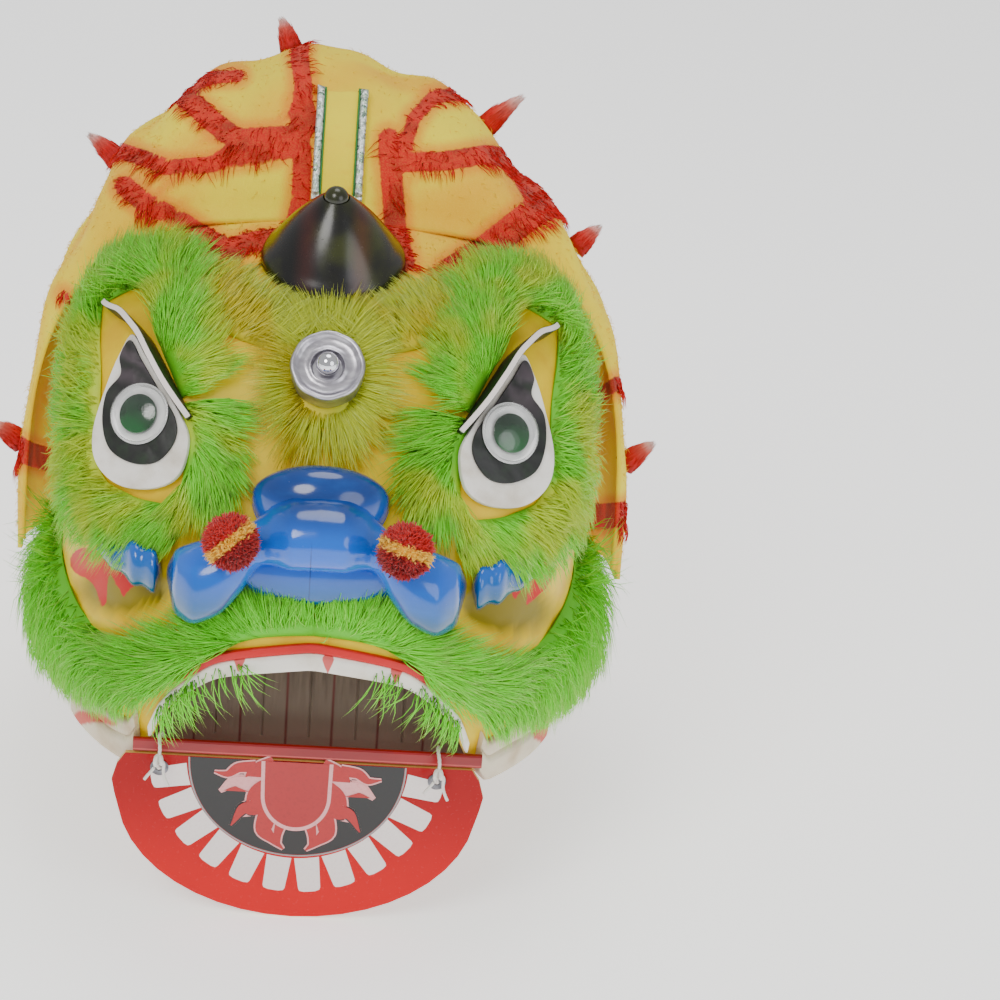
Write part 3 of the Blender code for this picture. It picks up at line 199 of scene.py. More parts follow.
# Which way the fur is brushed on the left side: a place seen from in front, then the way across and up
BRUSHED = (
    (-123, 54, -0.6, 0.8), (-104, 68, -0.3, 1), (-83, 59, 0, 1), (-55, 51, 0.5, 0.8), (-29, 47, 0.6, 0.7),
    (-92, 36, -0.5, 1), (-70, 14, 0.3, 0.8), (-64, -3, 0.9, 0.1), (-51, -23, 0.9, -0.3), (-42, -43, 0.5, -0.8),
    (-50, -61, 0.2, -1), (-86, -73, -0.7, -0.7), (-66, -77, -0.45, -0.9), (-115, -52, -0.9, -0.3),
    (-119, -6, -0.9, 0.2), (-132, 19, -0.9, 0.3), (-126, -85, -0.9, -0.4), (-145, -109, -0.5, -0.8),
    (-136, -139, -0.5, -0.9), (-120, -159, -0.6, -0.9), (-97, -153, -0.6, -0.8), (-75, -141, -0.9, -0.2),
    (-76, -129, -0.9, 0.3), (-50, -135, -0.8, 0.4), (-57, -149, -0.7, -0.6), (-32, -144, -0.3, -0.5),
    (-30, -128, -0.3, 1), (-7, -125, 0, 1), (7, -140, 0, -0.6), (7, -126, 0, 1),
)

# Eyes: outlines as shares of the half width and half height, outer side first
EYE_TURN = 32.5
EYE_DOWN = 0.276
EYE_HALF_WIDTH = 0.0250
EYE_HALF_HEIGHT = 0.0345
PLATE_OUTLINE = (
    (0.76, 1.08), (0.36, 0.84), (-0.18, 0.50), (-0.72, 0.16), (-1.02, -0.14), (-1.04, -0.60),
    (-0.64, -0.87), (0.08, -0.96), (0.68, -0.76), (0.96, -0.34), (0.97, 0.33), (0.90, 0.78),
)
PATCH_OUTLINE = (
    (0.74, 0.99), (0.38, 0.76), (-0.16, 0.42), (-0.66, 0.10), (-0.78, -0.20), (-0.56, -0.52),
    (-0.08, -0.63), (0.46, -0.53), (0.78, -0.21), (0.89, 0.20), (0.72, 0.50), (0.85, 0.74),
)
BROW_DEPTH = 0.0160
BROW_BOARD = ((66, 0.135, 0.35), (52, 0.135, 0.75), (40, 0.150, 1.00), (32, 0.180, 1.00),
              (25.5, 0.220, 0.85), (20, 0.262, 0.45))

# Nose: across as a share of the half width, then drop, half height and depth as shares
NOSE_HALF_WIDTH = 0.0710
NOSE_HEIGHT = 0.0190
NOSE_DEPTH = 0.0220
NOSE_TOP = 0.0930
NOSE = (
    (0.00, 0.00, 0.87, 1.00),
    (0.16, 0.03, 0.85, 0.98),
    (0.29, 0.15, 0.72, 0.80),
    (0.38, 0.38, 0.60, 0.66),
    (0.48, 0.78, 0.76, 0.72),
    (0.62, 1.12, 0.98, 0.82),
    (0.76, 1.36, 1.00, 0.84),
    (0.89, 1.50, 0.84, 0.68),
    (0.98, 1.58, 0.45, 0.34),
)
SCROLL = ((0.0, 0.75), (0.25, 1.0), (0.55, 0.82), (0.8, 0.5), (1.0, 0.22))

TEETH_HEIGHT = 0.0085
GUM_HEIGHT = 0.0045
CORNER_HEIGHT = 0.0260
BAR_FRONT = 0.1387
BAR_DROP = 0.2195
JAW_SHIFT = -0.0040
EYELET_ACROSS = 0.0670
EYELET_DOWN = 0.01165
STRING_RADIUS = 0.0009


# Shapes

def unit(vectors):
    return vectors / np.maximum(np.linalg.norm(vectors, axis=-1, keepdims=True), 1e-12)


def dot(a, b):
    return (a * b).sum(-1, keepdims=True)


def smooth_rows(x, rows, column):
    """A column of a table at x, on a smooth curve through the rows that never overshoots them."""
    table = np.asarray(rows, float)
    xs, ys = table[:, 0], table[:, column]
    x = np.clip(x, xs[0], xs[-1])
    slope = np.diff(ys) / np.diff(xs)
    tangent = np.zeros_like(ys)
    tangent[0], tangent[-1] = slope[0], slope[-1]
    same = slope[:-1] * slope[1:] > 0
    tangent[1:-1][same] = 2 * slope[:-1][same] * slope[1:][same] / (slope[:-1] + slope[1:])[same]
    k = np.clip(np.searchsorted(xs, x, side="right") - 1, 0, len(xs) - 2)
    step = xs[k + 1] - xs[k]
    t = (x - xs[k]) / step
    return ((1 + 2 * t) * (1 - t) ** 2 * ys[k] + t * (1 - t) ** 2 * step * tangent[k]
            + t * t * (3 - 2 * t) * ys[k + 1] + t * t * (t - 1) * step * tangent[k + 1])


def numbered(rows):
    """A table with its row numbers in front, so that a place in it is a share of a row."""
    return np.column_stack([np.arange(len(rows)), np.asarray(rows, float)])


def signed_power(value, power):
    return np.sign(value) * np.abs(value) ** power


def rim_down(turn):
    return smooth_rows(np.abs(turn), RIM, 1)


def mask_point(turn, down):
    """The mask's skin: a superellipse at each level, with its corner shares from the table."""
    rows = SECTIONS.copy()
    rows[:, 0] = np.sqrt(rows[:, 0])
    front, back, width, square = (smooth_rows(np.sqrt(down), rows, c) for c in range(1, 5))
    angle = np.radians(turn)
    reach = np.where(np.cos(angle) > 0, MASK_FRONT * front, MASK_BACK * back)
    x = MASK_HALF_WIDTH * width * signed_power(np.sin(angle), 2 / square)
    y = -reach * signed_power(np.cos(angle), 2 / square)
    return np.stack([x, y, MASK_WALL - MASK_HEIGHT * down + 0 * x], axis=-1)


def mask_steps(turn, down):
    """How the skin moves with a degree of turn, and with the root of the share down."""
    root = np.sqrt(down)
    aside = mask_point(turn + 0.5, down) - mask_point(turn - 0.5, down)
    below = mask_point(turn, (root + 0.004) ** 2) - mask_point(turn, (root - 0.004) ** 2)
    return aside, below / 0.008


def mask_normal(turn, down):
    aside, below = mask_steps(turn, down)
    return unit(np.cross(below, aside))


def slide(turn, down, offset):
    """The turn and share down of a place that lies an offset away along the skin: the offset solved
    in the two steps of the skin."""
    aside, below = mask_steps(turn, down)
    a, b, c = dot(aside, aside), dot(aside, below), dot(below, below)
    p, q = dot(aside, offset), dot(below, offset)
    scale = a * c - b * b
    turned, sunk = (p * c - q * b) / scale, (q * a - p * b) / scale
    root = np.clip(np.sqrt(down) + sunk[..., 0], 0.02, 1.03)
    return turn + turned[..., 0], root ** 2


def mask_front(x, z):
    """How far forward the skin lies behind a point of the front view: the level's superellipse solved
    for its depth."""
    down = (MASK_WALL - z) / MASK_HEIGHT
    rows = SECTIONS.copy()
    rows[:, 0] = np.sqrt(rows[:, 0])
    front, width, square = (smooth_rows(np.sqrt(down), rows, c) for c in (1, 3, 4))
    side = np.clip(np.abs(x) / (MASK_HALF_WIDTH * width), 0, 0.999)
    return MASK_FRONT * front * (1 - side ** square) ** (1 / square)


def hood_point(angle, along):
    """The hood's skin: an arch at an angle round the head, and a place along it in degrees."""
    pivot, height, width, square, fold = (smooth_rows(angle, ARCHES, c) for c in range(1, 6))
    run = np.radians(along)
    tilt = np.radians(angle)
    ripple = 0.0032 * fold * np.cos(18 * run + 0.8 * np.sin(3 * run) + 1.5 * tilt)
    ripple = ripple * np.abs(np.sin(run)) ** 0.5
    sunk = np.clip((angle - 92) / 12, 0, 1) * np.exp(-((along - 52) / 24) ** 2)
    reach = HOOD_HEIGHT * height * signed_power(np.sin(run), 2 / square) * (1 - 0.085 * sunk) + ripple
    x = (HOOD_HALF_WIDTH * width + 0.6 * ripple) * signed_power(np.cos(run), 2 / square)
    return np.stack([x, pivot - reach * np.cos(tilt), reach * np.sin(tilt) - HOOD_HEM_DROP + 0 * x], axis=-1)


def hood_normal(angle, along):
    aside = hood_point(angle, along + 0.5) - hood_point(angle, along - 0.5)
    behind = hood_point(angle + 0.5, along) - hood_point(angle - 0.5, along)
    return unit(np.cross(behind, aside))


def creases(points, size, seed):
    """Soft uneven height from -1 to 1: waves in several directions, added up."""
    turns = np.random.default_rng(seed)
    ways = unit(turns.normal(size=(7, 3)))
    pace = turns.uniform(0.6, 1.7, 7) * 2 * math.pi / size
    shift = turns.uniform(0, 6.28, 7)
    return np.sin(points @ ways.T * pace + shift).sum(-1) / 4


def seen_from_front(points):
    """Millimetres across and up as seen from in front and 23 degrees above, 1.3 m away."""
    lean = math.radians(CAMERA_LEAN)
    away = points - np.array(CAMERA_PLACE)
    depth = away[..., 1] * math.cos(lean) - away[..., 2] * math.sin(lean)
    rise = away[..., 1] * math.sin(lean) + away[..., 2] * math.cos(lean)
    return np.stack([away[..., 0], rise], -1) / depth[..., None] * SEEN_AWAY


def beside_lines(places, lines):
    """Millimetres outside the nearest stroke, less than 0 inside it, and the way out. A stroke is a line
    with a half width at either end."""
    best = np.full(places.shape[:-1], 1e3)
    way = np.zeros(places.shape)
    for (first, last), line in lines:
        line = np.array(line, float)
        count = len(line) - 1
        for k in range(count):
            step = line[k + 1] - line[k]
            share = np.clip(((places - line[k]) @ step) / (step @ step), 0, 1)
            off = places - line[k] - share[..., None] * step
            half = first + (last - first) * (k + share) / count
            gap = np.linalg.norm(off, axis=-1) - half
            nearer = gap < best
            best = np.where(nearer, gap, best)
            way = np.where(nearer[..., None], off, way)
    return best, unit(way)


def grid_faces(rows, columns, wrap=False):
    """The quads of a grid of points, closed round if wrap is set."""
    r, c = np.meshgrid(np.arange(rows - 1), np.arange(columns if wrap else columns - 1), indexing="ij")
    low, beside = r * columns + c, r * columns + (c + 1) % columns
    return np.stack([low, beside, beside + columns, low + columns], -1).reshape(-1, 4)


def outwards(points, quads, triangles):
    """A closed body with its faces turned out, by the sign of its volume."""
    split = np.concatenate([quads[:, [0, 1, 2]], quads[:, [0, 2, 3]], triangles])
    a, b, c = (points[split[:, k]] for k in range(3))
    if (a * np.cross(b, c)).sum() < 0:
        quads, triangles = quads[:, ::-1], triangles[:, ::-1]
    return points, quads, triangles


def loft(rings):
    """A closed body through rings of points, with a fan over each end."""
    rings = np.asarray(rings, float)
    count, sides = rings.shape[:2]
    ends = np.stack([rings[0].mean(0), rings[-1].mean(0)])
    points = np.concatenate([rings.reshape(-1, 3), ends])
    k = np.arange(sides)
    after, first, last = (k + 1) % sides, np.full(sides, count * sides), np.full(sides, count * sides + 1)
    base = (count - 1) * sides
    fans = np.concatenate([np.stack([first, after, k], -1), np.stack([last, base + k, base + after], -1)])
    return outwards(points, grid_faces(count, sides, True), fans)


def ring_loft(rings):
    """A closed body through rings that come round to the first again."""
    rings = np.asarray(rings, float)
    count, sides = rings.shape[:2]
    quads = grid_faces(count + 1, sides, True) % (count * sides)
    return outwards(rings.reshape(-1, 3), quads, np.zeros((0, 3), int))


def walled(outer, inner, wrap=False):
    """A closed wall between two grids of points, with its edges filled."""
    rows, columns = outer.shape[:2]
    rings = [np.concatenate([outer[r], inner[r][::-1]]) for r in range(rows)]
    if not wrap:
        return loft_strip(np.array(rings))
    count = rows * columns
    quads = grid_faces(rows, columns, True)
    k = np.arange(columns)
    after = (k + 1) % columns
    base = (rows - 1) * columns
    edges = [np.stack([base + k, base + after, count + base + after, count + base + k], -1),
             np.stack([after, k, count + k, count + after], -1)]
    faces = np.concatenate([quads, count + quads[:, ::-1], *edges])
    return outwards(np.concatenate([outer.reshape(-1, 3), inner.reshape(-1, 3)]), faces, np.zeros((0, 3), int))


def loft_strip(rings):
    """A closed wall from rings that run out along its outer side and back along its inner side: the ends
    are filled by quads between the two sides."""
    count, sides = rings.shape[:2]
    quads = grid_faces(count, sides, True)
    k = np.arange(sides // 2 - 1)
    back = sides - 1 - k
    base = (count - 1) * sides
    ends = [np.stack([k + 1, k, back, back - 1], -1), base + np.stack([k, k + 1, back - 1, back], -1)]
    return outwards(rings.reshape(-1, 3), np.concatenate([quads, *ends]), np.zeros((0, 3), int))


def joined(*bodies):
    """Several closed bodies as one."""
    starts = np.cumsum([0] + [len(b[0]) for b in bodies])
    points = np.concatenate([b[0] for b in bodies])
    quads = np.concatenate([b[1] + s for b, s in zip(bodies, starts)])
    triangles = np.concatenate([b[2] + s for b, s in zip(bodies, starts)])
    return points, quads, triangles


def piece(name, body, paint, node=(), rides="head", slot=None, smooth=True, **values):
    """A mesh piece that rides on a body and stands for its CAD nodes. values are numbers for each point."""
    points, quads, triangles = body
    mesh = bpy.data.meshes.new(name)
    corners = np.concatenate([quads.ravel(), triangles.ravel()]).astype(np.int32)
    sizes = np.concatenate([np.full(len(quads), 4), np.full(len(triangles), 3)])
    mesh.vertices.add(len(points))
    mesh.vertices.foreach_set("co", np.asarray(points, np.float32).ravel())
    mesh.loops.add(len(corners))
    mesh.loops.foreach_set("vertex_index", corners)
    mesh.polygons.add(len(sizes))
    mesh.polygons.foreach_set("loop_start", np.concatenate([[0], np.cumsum(sizes)[:-1]]).astype(np.int32))
    mesh.update(calc_edges=True)
    if smooth:
        mesh.shade_smooth()
        if smooth is not True:
            mesh.set_sharp_from_angle(angle=math.radians(smooth))
    for key, numbers in values.items():
        kept = mesh.attributes.new(key, "FLOAT", "POINT")
        kept.data.foreach_set("value", np.broadcast_to(numbers, len(points)).astype(np.float32).ravel())
    item = bpy.data.objects.new(name, mesh)
    bpy.context.scene.collection.objects.link(item)
    mesh.materials.append(paint)
    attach(item, rides)
    if node:
        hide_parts(*([node] if isinstance(node, str) else node))
    return item


def rounded(outline, count):
    """A smooth closed line through an outline's points: a cubic between each two, its slopes set by their
    neighbours."""
    points = np.asarray(outline, float)
    place = np.arange(count) / count * len(points)
    k = place.astype(int)
    t = (place - k)[:, None]
    a, b, c, d = (points[(k + s) % len(points)] for s in (-1, 0, 1, 2))
    return 0.5 * (2 * b + (c - a) * t + (2 * a - 5 * b + 4 * c - d) * t ** 2 + (3 * b - a - 3 * c + d) * t ** 3)


def slab(outline, low, high, soft, base):
    """A flat piece with softened edges, in a frame of origin, x, y and z."""
    line = np.asarray(outline, float)
    ahead = unit(np.roll(line, -1, 0) - np.roll(line, 1, 0))
    area = (line[:, 0] * np.roll(line[:, 1], -1) - np.roll(line[:, 0], -1) * line[:, 1]).sum()
    inward = np.stack([-ahead[:, 1], ahead[:, 0]], -1) * (1 if area > 0 else -1)
    turns = np.linspace(0, math.pi / 2, 5)
    levels = [(soft * (1 - math.sin(a)), low + soft * (1 - math.cos(a))) for a in turns]
    levels += [(soft * (1 - math.sin(a)), high - soft * (1 - math.cos(a))) for a in turns[::-1]]
    origin, x, y, z = base
    rings = []
    for shrink, level in levels:
        flat = line + inward * shrink
        rings.append(origin + flat[:, :1] * x + flat[:, 1:] * y + level * z)
    return loft(rings)


def spun(profile, sides, base, flats=0.0):
    """A turned body: a profile of radius and height spun round z of a frame, from its lower middle out and
    up to its upper middle. flats pulls the sides in between eight corners."""
    origin, x, y, z = base
    turn = np.linspace(0, 2 * math.pi, sides, endpoint=False)
    radius = 1 - flats * (1 - np.abs(np.cos(4 * turn)))
    ring = np.cos(turn)[:, None] * x + np.sin(turn)[:, None] * y
    closed = profile[0][0] > 1e-6 and profile[-1][0] > 1e-6
    rings = [origin + ring * (max(r, 2e-5) * radius[:, None]) + h * z for r, h in profile]
    return ring_loft(rings) if closed else loft(rings)


def tube(path, radius, sides=10, twist=0.0, lay=0.0):
    """A cord along a path: rings across it, their radius swelling in three strands that twist round."""
    path = np.asarray(path, float)
    ahead = unit(np.gradient(path, axis=0))
    side = unit(np.cross(ahead, np.array([0.37, 0.11, 0.92])))
    other = np.cross(ahead, side)
    turn = np.linspace(0, 2 * math.pi, sides, endpoint=False)
    run = np.concatenate([[0], np.cumsum(np.linalg.norm(np.diff(path, axis=0), axis=1))])
    swell = 1 - lay + lay * np.cos(3 * turn[None, :] + twist * run[:, None])
    rings = path[:, None] + radius * swell[..., None] * (np.cos(turn)[None, :, None] * side[:, None]
                                                        + np.sin(turn)[None, :, None] * other[:, None])
    return loft(rings)


def places_of(node):
    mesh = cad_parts[node].data
    found = np.zeros(len(mesh.vertices) * 3)
    mesh.vertices.foreach_get("co", found)
    return found.reshape(-1, 3)


def axis_frame(node, towards):
    """The frame of a turned CAD piece: its axis is the direction in which its spread differs from the
    other two, and its origin is the lowest place on that axis."""
    points = np.unique(places_of(node).round(6), axis=0)
    middle = points.mean(0)
    spread, ways = np.linalg.eigh(np.cov((points - middle).T))
    odd = 0 if abs(spread[0] - spread[1]) > abs(spread[2] - spread[1]) else 2
    z = ways[:, odd] * np.sign(ways[:, odd] @ np.asarray(towards, float))
    reach = (points - middle) @ z
    x = unit(np.cross([0.0, 0.0, 1.0], z))
    return middle + z * reach.min(), x, np.cross(z, x), z


# Hair

def combed(root, normal, comb, length, lift, curl=0.12, steps=4, clump=0.0, locks=60):
    """Centre lines of hairs: a curve that leaves the root off the surface and bends over to the comb
    direction. Hairs near the same lock lean in to it towards their tips."""
    s = np.linspace(0, 1, steps)[None, :, None]
    length, lift = length[:, None], lift[:, None]
    comb = unit(comb - 0.9 * dot(comb, normal) * normal)
    first = root + 0.45 * length * unit(normal * (0.25 + lift) + comb * 0.6)
    last = root + length * unit(normal * 0.45 * lift + comb) * 0.95
    last = last + length * curl * chance.normal(size=root.shape)
    line = (1 - s) ** 2 * root[:, None] + 2 * s * (1 - s) * first[:, None] + s ** 2 * last[:, None]
    if clump:
        guides = chance.choice(len(root), min(locks, len(root)), replace=False)
        gap = np.linalg.norm(root[:, None] - root[guides][None], axis=-1)
        near = guides[gap.argmin(1)]
        pull = clump * s ** 1.5 * chance.uniform(0.4, 1.0, len(root))[:, None, None]
        line = line + pull * (line[near] - line)
    return line


def hairs(lines, thick):
    """Hairs as closed three-sided needles along their lines. Returns the body and each point's share
    towards the tip."""
    count, steps = lines.shape[:2]
    ahead = unit(np.gradient(lines, axis=1))
    side = unit(np.cross(ahead, unit(np.array([0.31, 0.9, 0.27]) + 0 * ahead)))
    other = np.cross(ahead, side)
    share = np.linspace(0, 1, steps)
    body = thick * np.array([1, 0.9, 0.6, 0.35])[:steps - 1] if steps < 5 else thick * (1 - 0.8 * share[:-1])
    turn = np.array([0, 2, 4]) * math.pi / 3
    ring = np.cos(turn)[:, None] * side[:, :-1, None] + np.sin(turn)[:, None] * other[:, :-1, None]
    rings = lines[:, :-1, None] + ring * body[None, :, None, None]
    points = np.concatenate([rings.reshape(count, -1, 3), lines[:, -1:]], 1)
    each = points.shape[1]
    tip = each - 1
    k = np.arange(3)
    after = (k + 1) % 3
    quads = np.concatenate([np.stack([3 * r + k, 3 * r + after, 3 * r + 3 + after, 3 * r + 3 + k], -1)
                            for r in range(steps - 2)])
    top = 3 * (steps - 2)
    triangles = np.concatenate([np.stack([top + k, top + after, np.full(3, tip)], -1), [[0, 2, 1]]])
    starts = (np.arange(count) * each)[:, None, None]
    along = np.concatenate([np.repeat(share[:-1], 3), [1.0]])
    quads, triangles = (quads + starts).reshape(-1, 4), (triangles + starts).reshape(-1, 3)
    return (points.reshape(-1, 3), quads, triangles), np.tile(along, count), each


def furred(name, beds, lines, thick, paint, node=(), slot="green_fur", **more):
    """A fur piece: hairs and the beds that they grow from, with the values tip and tone at each point."""
    hair, along, each = hairs(lines, thick)
    tone = np.repeat(chance.uniform(0, 1, len(lines)), each)
    body = joined(*beds, hair)
    bare = len(body[0]) - len(along)
    along = np.concatenate([np.full(bare, 0.12), along])
    tone = np.concatenate([np.full(bare, 0.4), tone])
    return piece(name, body, paint, node, slot=slot, tip=along, tone=tone, **more)


def band_places(rows, side, u, v):
    """Places in a fur band: u along its table, v across it from -1 to 1, with v up. Returns the place on
    the mask, its normal, the way across the band, and the table's other columns."""
    table = numbered(rows)
    turn, down, width, *rest = (smooth_rows(u, table, c) for c in range(1, 8))
    turn = side * turn
    ahead = [smooth_rows(np.clip(u + s, 0, len(rows) - 1), table, c) for s in (0.05, -0.05) for c in (1, 2)]
    out = unit(mask_point(side * ahead[2], ahead[3]) - mask_point(side * ahead[0], ahead[1]))
    across = unit(np.cross(mask_normal(turn, down), out)) * side
    turn, down = slide(turn, down, across * (width * 1e-3 * v)[..., None])
    return mask_point(turn, down), mask_normal(turn, down), across, rest


def brushed(place, side):
    """The way in which the fur is brushed: the table's ways, each weighed by its nearness."""
    table = np.array(BRUSHED) * np.array([-side, 1, -side, 1])
    seen = seen_from_front(place)
    near = 1 / (((seen[:, None] - table[None, :, :2]) ** 2).sum(-1) + 40) ** 1.5
    way = unit(near @ table[:, 2:])
    return way[:, :1] * AXES[0] + way[:, 1:] * RISE


def beside_eye(place, side):
    """How far out a place lies from an eye's middle, as a share of the plate's outline in that direction."""
    middle, x, y, _ = eye_frame(side, f"eye_plate_{'left' if side < 0 else 'right'}")
    line = rounded(PLATE_OUTLINE, 90)
    away = place - middle
    off = np.stack([side * (away @ x) / EYE_HALF_WIDTH, (away @ y) / EYE_HALF_HEIGHT], -1)
    reach = np.interp(np.arctan2(off[:, 1], off[:, 0]), *around_line(line), period=2 * math.pi)
    return np.linalg.norm(off, axis=1) / reach


def around_line(line):
    """A closed line round the origin as angles in rising order and the reach at each."""
    angle = np.arctan2(line[:, 1], line[:, 0])
    order = np.argsort(angle)
    return angle[order], np.linalg.norm(line, axis=1)[order]


def fur_band(name, rows, side, count, thick, paint, node, locks, bed, low=None, extra=None):
    """A band of fur on the mask: a domed bed along the table's path, and hairs brushed over it."""
    u, v = np.meshgrid(np.linspace(0, len(rows) - 1, 40), np.linspace(-1, 1, 9), indexing="ij")
    place, normal, _, rest = band_places(rows, side, u, v)
    rise = rest[0] * 1e-3 * bed * (1 - v ** 2) ** 0.7 + 0.0012
    base = walled(place + normal * rise[..., None], place + normal * 0.0004)
    u = chance.uniform(0, len(rows) - 1, count)
    v = chance.uniform(-1, 1, count)
    place, normal, across, rest = band_places(rows, side, u, v)
    height, length, spread, lift = rest
    root = place + normal * (height * 1e-3 * bed * (1 - v ** 2) * 0.8 + 0.0008)[:, None]
    comb = brushed(place, side) + across * (spread * v)[:, None] + 0.16 * chance.normal(size=place.shape)
    length = length * 1e-3 * chance.uniform(0.6, 1.12, count)
    lift = lift * chance.uniform(0.5, 1.2, count)
    free = beside_eye(root, side) > 1.06
    lines = combed(root[free], normal[free], comb[free], length[free], lift[free], 0.05, 4, 0.6, locks)
    if extra is not None:
        lines = np.concatenate([lines, extra])
    if low is not None:
        lines[..., 2] = np.maximum(lines[..., 2], low + 0.002 * chance.uniform(0, 1, (len(lines), 1)))
    return furred(name, [base], lines, thick, paint, node)


def mouth_fan(side):
    """Loose strands of the lip's fur that hang over the corner of the mouth."""
    count = 120
    turn = side * np.concatenate([chance.uniform(19, 28, 2 * count // 3), chance.uniform(8, 19, count // 3)])
    down = rim_down(turn) - chance.uniform(0.0, 0.03, len(turn))
    normal = mask_normal(turn, down)
    comb = DOWN - side * 0.45 * AXES[0] + 0.42 * chance.normal(size=normal.shape)
    length, lift = chance.uniform(0.010, 0.026, len(turn)), chance.uniform(0.2, 0.6, len(turn))
    return combed(mask_point(turn, down) + normal * 0.003, normal, comb, length, lift, 0.06, 4, 0.5, 24)


# Finishes

def linear(*color):
    """A colour given as 0 to 255 on a screen, as light."""
    c = np.array(color) / 255
    return (*np.where(c <= 0.04045, c / 12.92, ((c + 0.055) / 1.055) ** 2.4), 1.0)


class Value:
    """A socket that can be reckoned with: each operator adds a Math node."""

    def __init__(self, paint, socket):
        self.paint, self.socket = paint, socket

    def math(self, operation, *others):
        return self.paint.node("Math", {"operation": operation}, dict(enumerate((self, *others))))

    def flipped(self, operation, other):
        return self.paint.node("Math", {"operation": operation}, {0: other, 1: self})

    def __add__(self, other):
        return self.math("ADD", other)

    def __sub__(self, other):
        return self.math("SUBTRACT", other)

    def __rsub__(self, other):
        return self.flipped("SUBTRACT", other)

    def __mul__(self, other):
        return self.math("MULTIPLY", other)

    def __truediv__(self, other):
        return self.math("DIVIDE", other)

    def __gt__(self, other):
        return self.math("GREATER_THAN", other)

    def __lt__(self, other):
        return self.math("LESS_THAN", other)

    def soft(self, low, high):
        """0 below low, 1 above high, and smooth between them."""
        return self.paint.node("MapRange", {"interpolation_type": "SMOOTHSTEP"},
                               {"Value": self, "From Min": low, "From Max": high})

    __radd__ = __add__
    __rmul__ = __mul__


class Paint:
    """A material in the making."""

    def __init__(self, name):
        self.material = bpy.data.materials.new(name)
        self.material.use_nodes = True
        self.tree = self.material.node_tree
        self.tree.nodes.clear()

    def node(self, kind, settings=None, sockets=None, out=0):
        made = self.tree.nodes.new("ShaderNode" + kind)
        for key, value in (settings or {}).items():
            if key == "stops":
                ramp = made.color_ramp.elements
                while len(ramp) < len(value):
                    ramp.new(0.5)
                for stop, (place, color) in zip(ramp, value):
                    stop.position, stop.color = place, color
            else:
                setattr(made, key, value)
        for key, value in (sockets or {}).items():
            if isinstance(value, Value):
                self.tree.links.new(value.socket, made.inputs[key])
            elif value is not None:
                made.inputs[key].default_value = value
        return Value(self, made.outputs[out])

    def value(self, name):
        """A piece's own number at each point."""
        return self.node("Attribute", {"attribute_name": name}, out="Fac")

    def place(self):
        return self.node("TexCoord", out="Object")

    def along(self, axis):
        """One of the place's coordinates, in millimetres."""
        return self.node("SeparateXYZ", {}, {0: self.place()}, out=axis) * 1000.0

    def noise(self, scale, detail=3.0, stretch=None):
        place = self.place()
        if stretch:
            place = self.node("Mapping", {}, {"Vector": place, "Scale": stretch})
        return self.node("TexNoise", {}, {"Vector": place, "Scale": scale, "Detail": detail})

    def mix(self, share, first, second, blend="MIX"):
        return self.node("Mix", {"data_type": "RGBA", "blend_type": blend},
                         {0: share, 6: first, 7: second}, out=2)

    def ramp(self, value, *stops):
        return self.node("ValToRGB", {"stops": stops}, {0: value})

    def bump(self, height, strength, depth=0.001):
        return self.node("Bump", {}, {"Height": height, "Strength": strength, "Distance": depth})

    def done(self, color, roughness=0.5, bump=None, **fixed):
        """Close the material with a Principled shader. fixed are numbers for its own sockets."""
        sockets = {"Base Color": color, "Roughness": roughness, "Normal": bump}
        sockets.update({key.replace("_", " "): value for key, value in fixed.items()})
        shader = self.node("BsdfPrincipled", {}, sockets)
        self.node_out(shader)
        return self.material

    def node_out(self, shader):
        made = self.tree.nodes.new("ShaderNodeOutputMaterial")
        self.tree.links.new(shader.socket, made.inputs[0])


def fur_paint(name, root, body, tip, warm=None):
    """Hair: dark at the root, clear along its length and pale at the tip, each hair a little different."""
    p = Paint(name)
    along, tone = p.value("tip"), p.value("tone")
    color = p.ramp(along, (0.0, root), (0.30, body), (0.72, body), (1.0, tip))
    if warm:
        color = p.mix(p.noise(26.0, 2.0).soft(0.46, 0.62) * 0.75, color, warm)
    color = p.mix(tone.soft(0.60, 1.0) * 0.35, color, tip)
    color = p.mix((1 - tone).soft(0.72, 1.0) * 0.35, color, root)
    return p.done(color, 0.5, p.bump(p.noise(2400.0, 2.0), 0.15), Specular_IOR_Level=0.3)


def plush_paint(name):
    """Short-piled plush: yellow, with painted shade in ochre in the folds, and red bands that are set in by a seam."""
    p = Paint(name)
    gap = p.value("band") + (p.noise(420.0, 3.0) - 0.5) * 1.6
    fold = p.value("fold")
    pile = p.noise(1500.0, 4.0)
    cloud = p.noise(26.0, 4.0)
    yellow = p.mix(cloud.soft(0.35, 0.75), linear(252, 230, 4), linear(250, 214, 2))
    # painted shade: the yellow goes ochre where the fold value marks a fold
    yellow = p.mix(fold.soft(0.35, 1.0) * 0.6, yellow, linear(240, 160, 0))
    red = p.mix(p.noise(60.0, 3.0).soft(0.35, 0.7), linear(214, 10, 6), linear(160, 2, 4))
    halo = gap.soft(0.5, 7.0)
    yellow = p.mix((1 - halo) * 0.6, yellow, linear(236, 96, 6))
    color = p.mix(gap.soft(-0.5, 0.6), red, yellow)
    # painted highlight: pale flecks where the pile noise is high; the same noise also gives the pile its bump
    color = p.mix(pile.soft(0.35, 0.75) * 0.10, color, linear(255, 240, 120))
    seam = gap.soft(-1.2, 0.0) * (1 - gap.soft(0.0, 1.4))
    height = pile * 0.5 + p.noise(5200.0, 2.0) * 0.5 - seam * 0.9
    return p.done(color, 0.95, p.bump(height, 0.5, 0.0012), Sheen_Weight=0.04)


